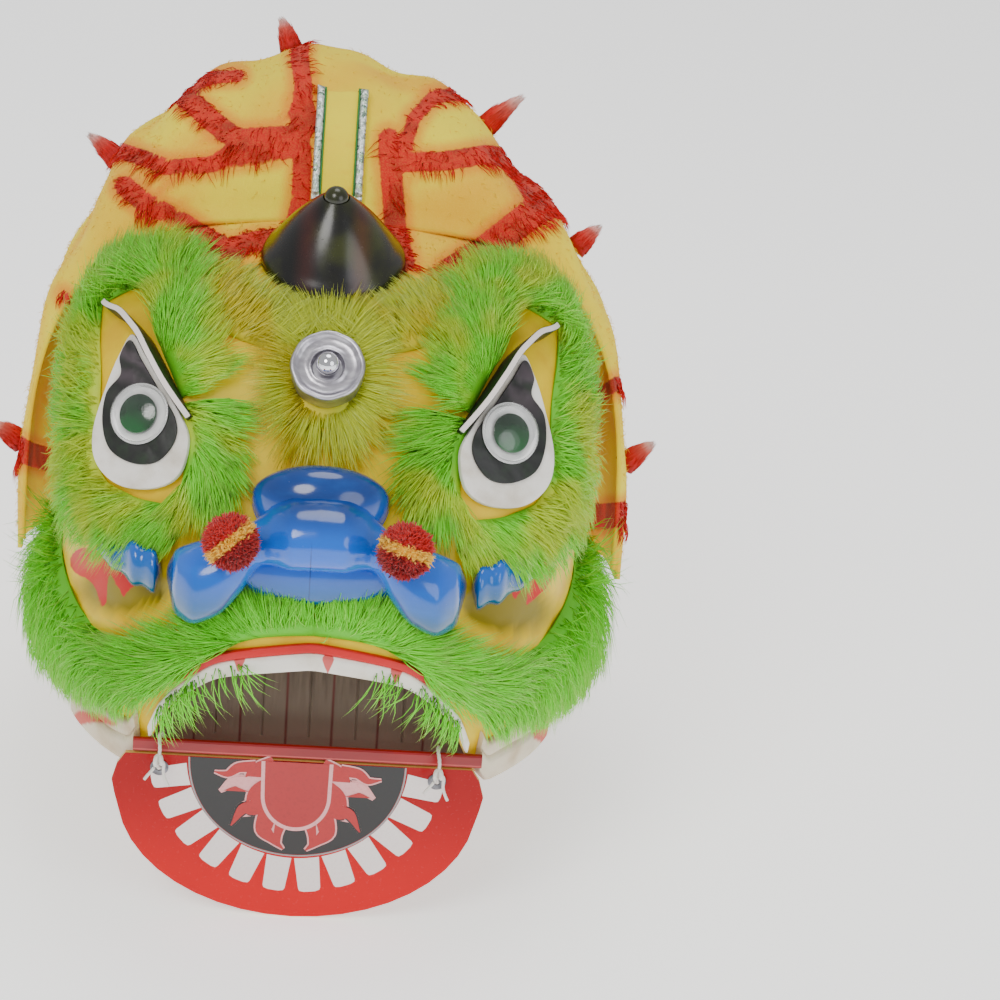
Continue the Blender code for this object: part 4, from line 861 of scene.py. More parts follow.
def mask_paint():
    """The mask's enamel: warm yellow, with painted shade in olive in the cheek hollows, painted flames and faint
    blushes.
    """
    p = Paint("mask_enamel")
    streak = p.noise(55.0, 5.0)
    color = p.mix(streak.soft(0.3, 0.75), linear(240, 206, 8), linear(226, 180, 4))
    # painted shade: olive where the cheek hollows lie
    color = p.mix(p.value("hollow"), color, linear(140, 122, 0))
    blush = (1 - p.value("blush").soft(-9.0, 5.0)) * 0.35
    color = p.mix(blush, color, linear(240, 110, 80))
    edge = p.value("lick") + (p.noise(300.0, 3.0) - 0.5) * 1.4
    color = p.mix(1 - edge.soft(-0.3, 0.4), color, linear(206, 10, 8))
    inside = p.value("inside")
    color = p.mix(inside, color, linear(196, 160, 60))
    wear = p.noise(900.0, 3.0)
    return p.done(color, 0.30 + wear * 0.18, p.bump(streak + wear * 0.12, 0.10, 0.0015),
                  Specular_IOR_Level=0.25)


def metal_paint(name, dark, light):
    """Dull metal: two close tones in fine clouds, faint unevenness and small scuffs."""
    p = Paint(name)
    cloud = p.noise(200.0, 4.0).soft(0.35, 0.7)
    scuff = p.noise(700.0, 4.0, (1.0, 1.0, 0.25)).soft(0.62, 0.8)
    return p.done(p.mix(cloud, dark, light), 0.28 + scuff * 0.18, p.bump(p.noise(260.0, 2.0), 0.05, 0.001),
                  Coat_Roughness=0.06, Metallic=0.9)


def board_paint(name, base, other, roughness=0.55):
    """Painted foam board: fine grain, faint dirt and a little wear."""
    p = Paint(name)
    grain = p.noise(1400.0, 3.0)
    dirt = p.noise(42.0, 5.0).soft(0.45, 0.8)
    return p.done(p.mix(dirt * 0.7, base, other), roughness + grain * 0.15, p.bump(grain, 0.18, 0.0006))


# Pieces

def build_mask():
    """The mask: rings from the crown down to the rim and back up inside. Each cheek has a hollow with a
    ledge below it, pressed into the skin."""
    around = np.linspace(-math.pi, math.pi, 200, endpoint=False) + 0.003
    turn = np.degrees(np.arctan2(signed_power(np.sin(around), 1.4), signed_power(np.cos(around), 1.4)))
    share = np.linspace(0.004, 1, 84)
    down = (share[:, None] * np.sqrt(rim_down(turn))) ** 2
    turn = np.broadcast_to(turn, down.shape)
    outer, normal = mask_point(turn, down), mask_normal(turn, down)
    seen = seen_from_front(outer)
    front = normal[..., 1] < -0.1
    x, y = np.abs(seen[..., 0]) - 99, seen[..., 1] + 112
    reach = np.hypot(x / 26, y / np.where(y < 0, 14, 18))
    # hollow sets how deep each cheek's hollow is pressed, and also how much painted olive shade goes into it
    hollow = np.where(front, 1 - np.clip((reach - 0.72) / 0.30, 0, 1), 0)
    hollow = hollow * hollow * (3 - 2 * hollow)
    ledge = np.where(front, np.exp(-((y + 18) / 3.6) ** 2) * np.exp(-(x / 24) ** 4), 0)
    press = -0.0042 * hollow + 0.0016 * ledge + 0.0003 * creases(outer, 0.05, 3)
    outer = outer + normal * press[..., None]
    inner = outer - normal * MASK_WALL
    lick = np.where(front, beside_lines(seen, CHEEK_FLAMES)[0], 50)
    blush = np.where(front, beside_lines(seen, BLUSHES)[0], 50)
    bare = np.zeros(down.size + 2)
    marks = [np.concatenate([m.ravel(), bare + rest]) for m, rest in ((hollow, 0), (lick, 50), (blush, 50))]
    inside = np.concatenate([bare[2:], bare[2:] + 1, [0, 1]])
    body = loft(np.concatenate([outer, inner[::-1]]))
    piece("mask", body, mask_paint(), "face_shell", slot="yellow_shell", hollow=marks[0], lick=marks[1],
          blush=marks[2], inside=inside)


def cloth_at(angle, along):
    """The hood's cloth: its skin with soft creases. Returns places and normals."""
    place, normal = hood_point(angle, along), hood_normal(angle, along)
    edge = np.clip((angle - 91) / 8, 0, 1)
    lift = 0.0019 * edge * creases(place * np.array([1.6, 0.8, 0.6]), 0.055, 21)
    return place + normal * lift[..., None], normal


def apron_at(turn, share):
    """The hood's front hem on the mask beside the horn, from the crown down to the brow fur."""
    low = smooth_rows(np.abs(turn), ((26, 0.075), (40, 0.085), (66, 0.090), (80, 0.135), (104, 0.22)), 1)
    down = (share * np.sqrt(low)) ** 2
    place, normal = mask_point(turn, down), mask_normal(turn, down)
    lift = 0.0006 + 0.0018 * np.clip(share / 0.3, 0, 1) + 0.0005 * share * creases(place, 0.04, 8)
    return place + normal * lift[..., None], normal


def fold_shade(points, normal):
    """The weight of the painted fold shade at a place, from 0 to 1: high in the troughs of a crease pattern and where
    the surface faces down.
    """
    return np.clip(0.5 - 0.55 * creases(points, 0.075, 33) - 0.5 * normal[..., 2], 0, 1)


def build_hood():
    """The plush hood: arches of cloth with folds, a hem on the mask at either side of the horn, red
    bands with a longer pile, and a short pile all over."""
    bands = [((half, half), line) for half, *line in HOOD_BANDS]
    angle, along = np.meshgrid(np.linspace(88.8, 180, 76), np.linspace(1.5, 178.5, 190), indexing="ij")
    outer, normal = cloth_at(angle, along)
    bodies = [walled(outer, outer - normal * 0.0022)]
    sides = [(outer, normal)]
    for side in (-1, 1):
        turn, share = np.meshgrid(side * np.linspace(26, 104, 56), np.linspace(0.03, 1, 30), indexing="ij")
        hem, up = apron_at(turn, share)
        bodies.append(walled(hem, hem - up * 0.0014))
        sides.append((hem, up))
    points = np.concatenate([b[0] for b in bodies])
    band = beside_lines(seen_from_front(points), bands)[0]
    # fold weighs the plush's painted fold shade, here from the crease pattern alone
    fold = fold_shade(points, np.zeros(points.shape))
    hood = piece("hood_cloth", joined(*bodies), plush_paint("hood_plush"), "hood", slot="yellow_plush",
                 band=band, fold=fold)
    angle = np.concatenate([chance.uniform(90.5, 179, 60000), chance.uniform(90.5, 130, 60000)])
    place, normal = cloth_at(angle, chance.uniform(3, 177, 120000))
    turn = chance.choice((-1, 1), 24000) * chance.uniform(27, 102, 24000)
    hem, up = apron_at(turn, np.sqrt(chance.uniform(0.01, 1, 24000)))
    place, normal = np.concatenate([place, hem]), np.concatenate([normal, up])
    gap, way = beside_lines(seen_from_front(place), bands)
    inside = np.flatnonzero(gap < 0.2)
    inside = chance.permutation(inside)[:7000]
    root, up, gap, way = place[inside], normal[inside], gap[inside], way[inside]
    below = np.clip(0.35 - way[:, 1] - 0.4 * way[:, 0] * np.sign(root[:, 0]), 0, 1)
    comb = (way[:, :1] * AXES[0] + way[:, 1:] * RISE) * (0.3 + 0.5 * below[:, None]) + 0.7 * DOWN
    comb = comb + 0.22 * chance.normal(size=comb.shape)
    edge = np.clip(1 + (gap + 2.5) / 2.5, 0, 1) * below
    length = chance.uniform(0.0035, 0.0060, len(root)) * (1 + 1.2 * edge)
    lines = combed(root, up, comb, length, chance.uniform(0.1, 0.35, len(root)), 0.08, 3, 0.7, 700)
    red = fur_paint("red_pile", linear(140, 2, 4), linear(206, 8, 6), linear(232, 40, 20))
    tufts = furred("hood_red_pile", [], lines, 0.00026, red, slot="red_plush")
    pick = chance.choice(len(place), 4000, replace=False)
    pick = pick[beside_lines(seen_from_front(place[pick]), bands)[0] > 0.5]
    comb = DOWN * 0.5 + chance.normal(size=(len(pick), 3))
    lines = combed(place[pick], normal[pick], comb, chance.uniform(0.0022, 0.0042, len(pick)),
                   chance.uniform(0.3, 0.9, len(pick)), 0.2, 3)
    pale = fur_paint("yellow_pile", linear(240, 180, 10), linear(255, 216, 24), linear(255, 236, 90))
    nap = furred("hood_yellow_pile", [], lines, 0.00016, pale, slot="yellow_plush")
    return hood, tufts, nap


def build_flame_points():
    """Flame points: a leaning core with long red hair that runs together at a pale tip."""
    p = Paint("point_hair")
    along, tone = p.value("tip"), p.value("tone")
    color = p.ramp(along, (0.0, linear(150, 6, 10)), (0.35, linear(214, 16, 12)), (0.62, linear(226, 96, 84)),
                   (0.9, linear(246, 214, 206)))
    color = p.mix(tone * 0.2, color, linear(240, 120, 104))
    paint = p.done(color, 0.6, p.bump(p.noise(2400.0, 2.0), 0.15), Specular_IOR_Level=0.3)
    heart = np.array([0.0, 0.05, -0.09])
    for k in range(1, 7):
        cloud = places_of(f"flame_point_{k}")
        away = np.linalg.norm(cloud - heart, axis=1)
        tip, foot = cloud[away.argmax()], cloud[away < away.min() + 0.006].mean(0)
        lean = tip - foot
        z = unit(lean)
        x = unit(np.cross(z, np.array([0.2, 1.0, 0.1])))
        base = (foot - 0.002 * z, x, np.cross(z, x), z)
        tall = np.linalg.norm(lean)
        cone = ((0.0, 0.0), (0.0062, 0.0), (0.0060, 0.25), (0.0036, 0.6), (0.0012, 0.9), (0.0, 1.0))
        core = spun([(r, h * tall) for r, h in cone], 14, base)
        count = 380
        share, spin = chance.uniform(0, 0.72, count), chance.uniform(0, 2 * math.pi, count)
        out = np.cos(spin)[:, None] * base[1] + np.sin(spin)[:, None] * base[2]
        far = np.clip(share + chance.uniform(0.3, 0.5, count), 0, 1.08)
        s = np.linspace(0, 1, 4)[None, :, None]
        place = (share[:, None] + (far - share)[:, None] * s[..., 0])[..., None]
        wide = 0.0062 * np.clip(1.03 - place, 0, 1) ** 0.8 + 0.0007 * s
        sag = np.array([0.0, 0.0, -0.0025]) * place ** 2
        hair, _, each = hairs(foot + place * lean + wide * out[:, None] + sag
                              + 0.0005 * s * chance.normal(size=(count, 1, 3)), 0.00030)
        body = joined(core, hair)
        tone = np.concatenate([np.zeros(len(core[0])), np.repeat(chance.uniform(0, 1, count), each)])
        reach = np.clip((body[0] - foot) @ z / tall, 0, 1)
        piece(f"flame_tuft_{k}", body, paint, f"flame_point_{k}", slot="red_plush", tip=reach, tone=tone)


def build_crest():
    """The crest: a padded yellow strip that follows the hood's middle, edged by sequin braids with a
    green cord beside each."""
    def strip(middle, half, low, high, round_off, count):
        angle = np.linspace(91.2, 101.8, 60)
        s = np.linspace(-1, 1, count)
        x = (middle + half * s)[None, :] + 0 * angle[:, None]
        width, square = (smooth_rows(angle, ARCHES, c)[:, None] for c in (3, 4))
        along = np.degrees(np.arccos(signed_power(x / (HOOD_HALF_WIDTH * width), square / 2)))
        place, normal = cloth_at(angle[:, None] + 0 * x, along)
        top = low + (high - low) * (1 - round_off * s ** 4)
        end = np.clip((1 - np.abs(np.linspace(-1, 1, 60))) * 12, 0.25, 1)[:, None]
        return walled(place + normal * (top * end)[..., None], place + normal * low)
    body = strip(0.0, 0.0122, 0.0006, 0.0036, 0.7, 25)
    # the crest's fold values give its plush painted ochre shade in a crease pattern
    piece("crest_strip", body, plush_paint("crest_plush"), "crest_band", slot="yellow_plush", band=20.0,
          fold=0.3 + 0.3 * creases(body[0], 0.012, 4))
    p = Paint("sequin_braid")
    cell = p.node("TexVoronoi", {}, {"Vector": p.place(), "Scale": 620.0})
    spark = p.node("TexVoronoi", {}, {"Vector": p.place(), "Scale": 620.0}, out="Color")
    tint = p.node("SeparateColor", {}, {0: spark})
    color = p.ramp(tint, (0.0, linear(120, 150, 130)), (0.45, linear(206, 214, 206)),
                   (0.75, linear(240, 240, 236)), (1.0, linear(170, 200, 150)))
    silver = p.done(color, 0.22 + tint * 0.3, p.bump(1 - cell, 0.6, 0.0008), Metallic=0.75)
    cord = board_paint("braid_cord", linear(40, 120, 50), linear(20, 84, 40))
    for side, label in ((-1, "left"), (1, "right")):
        braid = strip(side * 0.0107, 0.0019, 0.0034, 0.0052, 0.6, 9)
        piece(f"crest_braid_{label}", braid, silver, f"crest_trim_{label}", slot="sequin_trim")
        piece(f"crest_cord_{label}", strip(side * 0.0083, 0.0005, 0.0034, 0.0046, 0.9, 7), cord)


def build_horn():
    """The horn: swollen sides drawn in to a knob, in dark moulded plastic with olive clouds and a painted red-brown
    reflection down either side.
    """
    base = axis_frame("horn", (0, 0, 1))
    high = (places_of("horn") @ base[3]).max() - base[0] @ base[3]
    wide = 0.0350
    rows = ((0.0, 1.0), (0.03, 1.0), (0.22, 0.86), (0.42, 0.69), (0.62, 0.49), (0.80, 0.27), (0.86, 0.185))
    level = np.linspace(0.0, 0.86, 30)
    profile = [(0.0, 0.0), (wide * 0.985, 0.0)]
    profile += [(wide * r, high * h + 0.0006) for h, r in zip(level, smooth_rows(level, rows, 1))]
    turn = np.linspace(-0.9, math.pi / 2, 14)
    knob = 0.0060
    profile += [(knob * math.cos(a), high - knob + knob * math.sin(a)) for a in turn[:-1]] + [(0.0, high)]
    p = Paint("horn_plastic")
    x = p.along("X")
    cloud = p.noise(34.0, 3.0)
    olive = p.mix(cloud.soft(0.4, 0.62), linear(10, 9, 8), linear(44, 48, 6))
    # painted reflection: a red-brown band down either side of the horn's axis, broken up by the clouds
    rust_and_red_reflection = (1 - ((x.math("ABSOLUTE") - 13.0).math("ABSOLUTE") / 8.0)).soft(0.1, 1.0) * 0.6
    color = p.mix(rust_and_red_reflection * cloud, olive, linear(96, 30, 20))
    scuff = p.noise(600.0, 4.0).soft(0.6, 0.85)
    paint = p.done(color, 0.24 + scuff * 0.2, p.bump(p.noise(90.0, 2.0), 0.05, 0.002),
                   Coat_Weight=0.2, Coat_Roughness=0.2)
    piece("horn_cone", spun(profile, 96, base), paint, "horn", slot="black_plastic", smooth=50)


def build_mirror():
    """The mirror: a spun dish with a bright rim, eight soft flats, a ring groove and a ball in the middle."""
    base = axis_frame("mirror_dish", (0, -1, 1))
    top = (places_of("mirror_dish") @ base[3]).max() - base[0] @ base[3]
    profile = [(0.0, 0.0), (0.0164, 0.0), (0.0169, 0.0008), (0.0173, 0.006), (0.0175, top - 0.0030),
               (0.0176, top - 0.0014), (0.0173, top - 0.0005), (0.0167, top), (0.0158, top - 0.0001),
               (0.0150, top - 0.0006), (0.0142, top - 0.0016), (0.0130, top - 0.0020), (0.0108, top - 0.0022),
               (0.0092, top - 0.0019), (0.0086, top - 0.0013), (0.0081, top - 0.0013), (0.0077, top - 0.0020),
               (0.0075, top - 0.0040), (0.0070, top - 0.0050), (0.0, top - 0.0050)]
    p = Paint("mirror_silver")
    brush = p.noise(90.0, 6.0, (1.0, 6.0, 1.0))
    color = p.mix(brush.soft(0.3, 0.7), linear(176, 172, 180), linear(206, 204, 210))
    scuff = p.noise(800.0, 4.0).soft(0.5, 0.9)
    silver = p.done(color, 0.30 + scuff * 0.25, p.bump(brush, 0.06, 0.0006), Metallic=0.95)
    piece("mirror_rim", spun(profile, 128, base, 0.022), silver, "mirror_dish", slot="silver", smooth=50)
    ball = places_of("mirror_ball")
    middle = (ball.min(0) + ball.max(0)) / 2
    turn = np.linspace(-math.pi / 2, math.pi / 2, 30)
    globe = [(0.0055 * math.cos(a), 0.0055 * math.sin(a)) for a in turn]
    p = Paint("ball_silver")
    # rust spots on the silver ball: a real stain
    rust_and_red_reflection = p.noise(900.0, 4.0).soft(0.55, 0.8) * 0.3
    color = p.mix(rust_and_red_reflection, linear(226, 226, 230), linear(120, 96, 84))
    shine = p.done(color, 0.06 + rust_and_red_reflection * 0.5, None, Metallic=1.0)
    piece("mirror_bead", spun(globe, 48, (middle, *base[1:])), shine, "mirror_ball", slot="silver")


def build_brow(side, label):
    """A brow board: a thin shelf of foam board along the brow, black on top, its front edge left white."""
    index = np.linspace(0, len(BROW_BOARD) - 1, 70)
    turn, down, depth = (smooth_rows(index, numbered(BROW_BOARD), c) for c in (1, 2, 3))
    place, normal = mask_point(side * turn, down), mask_normal(side * turn, down)
    along = unit(np.gradient(place, axis=0))
    across = unit(np.cross(along, normal)) * side
    reach = 0.0009 + BROW_DEPTH * depth
    soft = 0.0004
    corners = [(0.0009, -1, 0), (0.0009, 1, 0)]
    rings = [place + normal * 0.0009 + across * 0.0015 * s for _, s, _ in corners]
    for s, back in ((1, soft), (1 - soft / 0.0015, 0.0), (-1 + soft / 0.0015, 0.0), (-1, soft)):
        rings.append(place + normal * (reach - back)[:, None] + across * 0.0015 * s)
    body = loft(np.stack(rings, 1))
    edge = np.concatenate([np.tile([0, 0, 0, 1, 1, 0], 70), [0, 0]])
    p = Paint(f"brow_board_finish_{label}")
    grain = p.noise(900.0, 3.0)
    black = p.mix(p.noise(40.0, 4.0).soft(0.5, 0.8), linear(14, 14, 15), linear(52, 44, 50))
    color = p.mix(p.value("edge").soft(0.45, 0.55), black, linear(236, 226, 220))
    paint = p.done(color, 0.32 + grain * 0.2, p.bump(grain, 0.15, 0.0006))
    piece(f"brow_shelf_{label}", body, paint, f"brow_board_{label}", slot="black_board", smooth=40, edge=edge)


def eye_frame(side, node):
    """The frame of an eye's flat parts: the skin's normal at the eye, and the plate's own seat on it."""
    middle = mask_point(np.array(side * EYE_TURN), np.array(EYE_DOWN))
    beside = mask_point(np.array(side * EYE_TURN + 2.0), np.array(EYE_DOWN))
    below = mask_point(np.array(side * EYE_TURN), np.array(EYE_DOWN + 0.0005))
    z = unit(np.cross(beside - middle, below - middle))
    z = -z if z[1] > 0 else z
    x = unit(np.cross(np.array([0.0, 0.0, 1.0]), z))
    seat = ((places_of(node) - middle) @ z).min()
    return middle + z * seat, x, np.cross(z, x), z


def build_eye(side, label):
    """An eye: a cut foam plate, a creased vinyl patch with painted sheen on its upper creases, and a googly eye of
    ring, dome and loose pupil, the pupil's top in painted shade.
    """
    def cut(table, count):
        line = rounded(table, count)
        return np.stack([side * line[:, 0] * EYE_HALF_WIDTH, line[:, 1] * EYE_HALF_HEIGHT], -1)
    base = eye_frame(side, f"eye_plate_{label}")
    p = Paint(f"eye_foam_{label}")
    pores = p.noise(1300.0, 4.0)
    worn = p.noise(60.0, 5.0).soft(0.42, 0.8)
    color = p.mix(worn, linear(240, 236, 228), linear(204, 194, 176))
    color = p.mix(pores.soft(0.6, 0.8) * 0.3, color, linear(170, 160, 150))
    foam = p.done(color, 0.75, p.bump(pores, 0.3, 0.0006))
    piece(f"eye_white_{label}", slab(cut(PLATE_OUTLINE, 160), 0.0, 0.0030, 0.0005, base), foam,
          f"eye_plate_{label}", slot="white_foam", smooth=60)
    base = eye_frame(side, f"eye_patch_{label}")
    p = Paint(f"eye_vinyl_{label}")
    fold = p.node("TexWave", {"bands_direction": "DIAGONAL", "wave_type": "BANDS"},
                  {"Vector": p.place(), "Scale": 30.0, "Distortion": 7.0, "Detail": 3.0, "Detail Scale": 1.6})
    crack = p.noise(160.0, 6.0)
    # painted sheen: greyish light along the creases of the patch's upper part
    top_sheen = p.along("Z").soft(-62.0, -42.0)
    black = p.mix(crack.soft(0.4, 0.8), linear(10, 12, 10), linear(22, 40, 20))
    color = p.mix(top_sheen * (fold * 0.6 + 0.1), black, linear(84, 72, 80))
    vinyl = p.done(color, 0.42 + crack * 0.2, p.bump(fold * 0.8 + crack * 0.35, 0.5, 0.0010), Coat_Weight=0.12,
                   Coat_Roughness=0.2)
    piece(f"eye_black_{label}", slab(cut(PATCH_OUTLINE, 160), 0.0, 0.0012, 0.0003, base), vinyl,
          f"eye_patch_{label}", slot="black_vinyl", smooth=60)
    base = axis_frame(f"googly_disc_{label}", base[3])
    ring = [(0.0, 0.0), (0.0143, 0.0), (0.0146, 0.0003), (0.0146, 0.0009), (0.0143, 0.0011), (0.0136, 0.0009),
            (0.0108, 0.0009), (0.0104, 0.0005), (0.0, 0.0005)]
    p = Paint(f"googly_white_{label}")
    cloud = p.noise(120.0, 3.0).soft(0.4, 0.7)
    card = p.done(p.mix(cloud, linear(240, 240, 238), linear(216, 218, 218)), 0.35,
                  p.bump(cloud, 0.08, 0.0005), Coat_Weight=0.3)
    piece(f"googly_ring_{label}", spun(ring, 72, base), card, f"googly_disc_{label}", slot="white_plastic",
          smooth=50)
    origin, x, y, z = base
    high, seat, wall = 0.0062, 0.0013, 0.0008
    turns = np.linspace(0, math.pi / 2, 20)
    outer = [(0.01455 * math.cos(a), seat + high * math.sin(a)) for a in turns]
    inner = [(0.01385 * math.cos(a), seat + (high - wall) * math.sin(a)) for a in turns[::-1]]
    p = Paint(f"googly_clear_{label}")
    rim = p.node("Fresnel", {}, {"IOR": 1.3}) * 0.5
    clear = p.node("BsdfTransparent", {}, {"Color": (1, 1, 1, 1)})
    shine = p.node("BsdfGlossy", {}, {"Color": (1, 1, 1, 1), "Roughness": 0.06})
    p.node_out(p.node("MixShader", {}, {0: rim, 1: clear, 2: shine}))
    piece(f"googly_lens_{label}", spun([(0.0, seat + high - wall)] + inner[1:] + outer[:-1]
                                         + [(0.0, seat + high)], 72, base),
          p.material, f"googly_dome_{label}", slot="clear_plastic")
    drop = -y * 0.0014 - x * 0.0006
    coin = [(0.0, 0.0013), (0.0090, 0.0013), (0.0094, 0.0016), (0.0094, 0.0022), (0.0090, 0.0025), (0.0, 0.0026)]
    p = Paint(f"pupil_green_{label}")
    glow = p.noise(70.0, 2.0)
    # painted shade: the pupil is darker and greyer towards its top
    low = p.along("Z").soft(-66.0, -52.0)
    color = p.mix(low, linear(14, 84, 36), linear(40, 60, 46))
    color = p.mix(glow.soft(0.45, 0.7) * 0.6, color, linear(14, 34, 20))
    pupil = p.done(color, 0.18, p.bump(glow, 0.05, 0.0005), Coat_Weight=0.6)
    piece(f"googly_coin_{label}", spun(coin, 64, (origin + drop * 0.2, x, y, z)), pupil, f"googly_pupil_{label}",
          slot="dark_green_plastic", smooth=50)


def bulge(x, z, tall, depth, seat, sides=44):
    """A moulded bulge on the mask: ellipses across the face whose backs follow the skin."""
    turn = np.linspace(0, 2 * math.pi, sides, endpoint=False)[None, :]
    up = z[:, None] + tall[:, None] * np.sin(turn)
    out = (mask_front(x, z) + seat * depth)[:, None] + depth[:, None] * np.cos(turn)
    least = mask_front(x[:, None] + 0 * up, up) + 0.0009 + 0.0015 * np.maximum(0, np.cos(turn))
    return np.stack([x[:, None] + 0 * up, -np.maximum(out, least), up], -1)


def build_nose():
    """The nose: a ball between two lobes with the bridge over them, and a small scroll beyond each lobe,
    in glossy blue, with painted shade: darker on the bridge under the mirror's fur, and darker and greener underneath."""
    across = 0.98 * np.sin(np.linspace(-math.pi / 2, math.pi / 2, 150))
    drop, tall, depth = (smooth_rows(np.abs(across), NOSE, c) for c in (1, 2, 3))
    close = np.sqrt(np.clip((0.985 - np.abs(across)) / 0.06, 0, 1)) * 0.98 + 0.02
    rings = bulge(NOSE_HALF_WIDTH * across, -NOSE_TOP - NOSE_HEIGHT * drop, NOSE_HEIGHT * tall * close,
                  NOSE_DEPTH * depth * close, 0.8)
    side = np.linspace(-0.985, 0.985, 60)
    round_off = np.sqrt(1 - side ** 2)
    bridge = bulge(0.0320 * side, -NOSE_TOP + 0.0060 + 0 * side, 0.0200 * round_off, 0.0150 * round_off, 0.5)
    chin = bulge(0.0500 * side, -NOSE_TOP - 0.0240 + 0 * side, 0.0145 * round_off, 0.0100 * round_off, 0.4)
    p = Paint("nose_enamel")
    x, z = p.along("X"), p.along("Z")
    streak = p.noise(60.0, 5.0, (1.0, 1.0, 3.0))
    # painted shade: the underside darker and greener
    color = p.mix(z.soft(-132.0, -104.0), linear(0, 84, 120), linear(0, 96, 210))
    # painted shadow: darker on the bridge, under the mirror's fur
    color = p.mix(z.soft(-88.0, -76.0) * 0.85, color, linear(0, 44, 110))
    color = p.mix(streak.soft(0.45, 0.8) * 0.2, color, linear(4, 120, 230))
    seam = (1 - ((x + 3.0).math("ABSOLUTE") / 0.45)).soft(0.0, 1.0) * (1 - z.soft(-96.0, -86.0))
    color = p.mix(seam * 0.75, color, linear(2, 40, 90))
    scuff = p.noise(800.0, 4.0).soft(0.62, 0.82)
    blue = p.done(color, 0.16 + scuff * 0.2, p.bump(streak * 0.5 - seam, 0.16, 0.0008), Coat_Weight=0.5,
                  Coat_Roughness=0.08)
    piece("nose_moulding", joined(loft(rings), loft(bridge), loft(chin)), blue, "nose", slot="blue_plastic")
    for hand, label in ((-1, "left"), (1, "right")):
        share = np.linspace(0, 1, 50)
        size = smooth_rows(share, SCROLL, 1) * np.sqrt(np.clip(share / 0.08, 0.02, 1)) \
            * np.sqrt(np.clip((1 - share) / 0.10, 0.01, 1))
        size = size * (1 + 0.10 * np.sin(3 * 2 * math.pi * share))
        at = NOSE_TOP + NOSE_HEIGHT * 1.62 + 0.10 * 0.033 * share - 0.0035 * np.sin(math.pi * share)
        reach = NOSE_HALF_WIDTH + 0.0012 + 0.033 * share
        rings = bulge(hand * reach, -at, 0.0110 * size, 0.0090 * size, 0.6, 32)
        piece(f"nose_leaf_{label}", loft(rings), blue, f"nose_scroll_{label}", slot="blue_plastic")


def build_pompom(side, label):
    """A pompom: blunt yarn ends packed on a ball, red with a yellow band across it, and painted shade that darkens it
    below.
    """
    node = f"pompom_{label}"
    cloud = places_of(node)
    middle = (cloud.min(0) + cloud.max(0)) / 2
    count = 1700
    k = np.arange(count) + 0.5
    up = 1 - 2 * k / count
    spin = k * math.pi * (3 - math.sqrt(5))
    way = np.stack([np.sqrt(1 - up ** 2) * np.cos(spin), np.sqrt(1 - up ** 2) * np.sin(spin), up], -1)
    way = unit(way + 0.05 * chance.normal(size=way.shape))
    s = np.array([0.55, 0.9, 1.0])[None, :, None] * chance.uniform(0.90, 1.02, count)[:, None, None]
    wander = 0.0006 * chance.normal(size=(count, 3, 3)) * np.array([0.0, 1.0, 1.2])[None, :, None]
    lines = middle + POMPOM_RADIUS * s * way[:, None] + wander
    hair, along, each = hairs(lines, 0.00048)
    turn = np.linspace(-math.pi / 2, math.pi / 2, 14)
    core = spun([(0.0104 * math.cos(a), 0.0104 * math.sin(a)) for a in turn], 24,
                (middle, *AXES))
    body = joined(core, hair)
    stripe = unit(np.array([-0.65, 0.29, 0.69]) if side < 0 else np.array([0.30, 0.37, 0.87]))
    across = np.concatenate([(core[0] - middle) @ stripe / 0.0104, np.repeat(way @ stripe, each)])
    tone = np.concatenate([np.zeros(len(core[0])), np.repeat(chance.uniform(0, 1, count), each)])
    p = Paint(f"yarn_{label}")
    tone_, across_ = p.value("tone"), p.value("across")
    # painted shade: the red darkens towards the lower side
    red = p.mix(across_.soft(-0.7, 0.6), linear(140, 0, 6), linear(200, 14, 10))
    red = p.mix(tone_ * 0.35, red, linear(222, 30, 18))
    yellow = p.mix(tone_ * 0.5, linear(250, 190, 40), linear(255, 214, 90))
    band = across_.soft(-0.20, -0.12) * (1 - across_.soft(0.20, 0.28))
    yarn = p.done(p.mix(band, red, yellow), 0.85, p.bump(p.noise(2600.0, 2.0), 0.3, 0.0004), Sheen_Weight=0.2)
    piece(f"pompom_yarn_{label}", body, yarn, node, slot="yarn", tone=tone, across=across)


def rim_band(turn, low, high, thick, lift=0.0009, rows=9):
    """A strip on the mask above its rim, from one height above the rim to another, its edges softened."""
    s = np.linspace(0, 1, rows)[None, :]
    rise = (low[:, None] + (high - low)[:, None] * s) / MASK_HEIGHT
    down = rim_down(turn)[:, None] - rise
    turn = turn[:, None] + 0 * down
    place, normal = mask_point(turn, down), mask_normal(turn, down)
    crown = (1 - np.abs(2 * s - 1) ** 8 * 0.5)[..., None]
    return walled(place + normal * (lift + thick[:, None, None] * crown), place + normal * (lift - 0.0006))


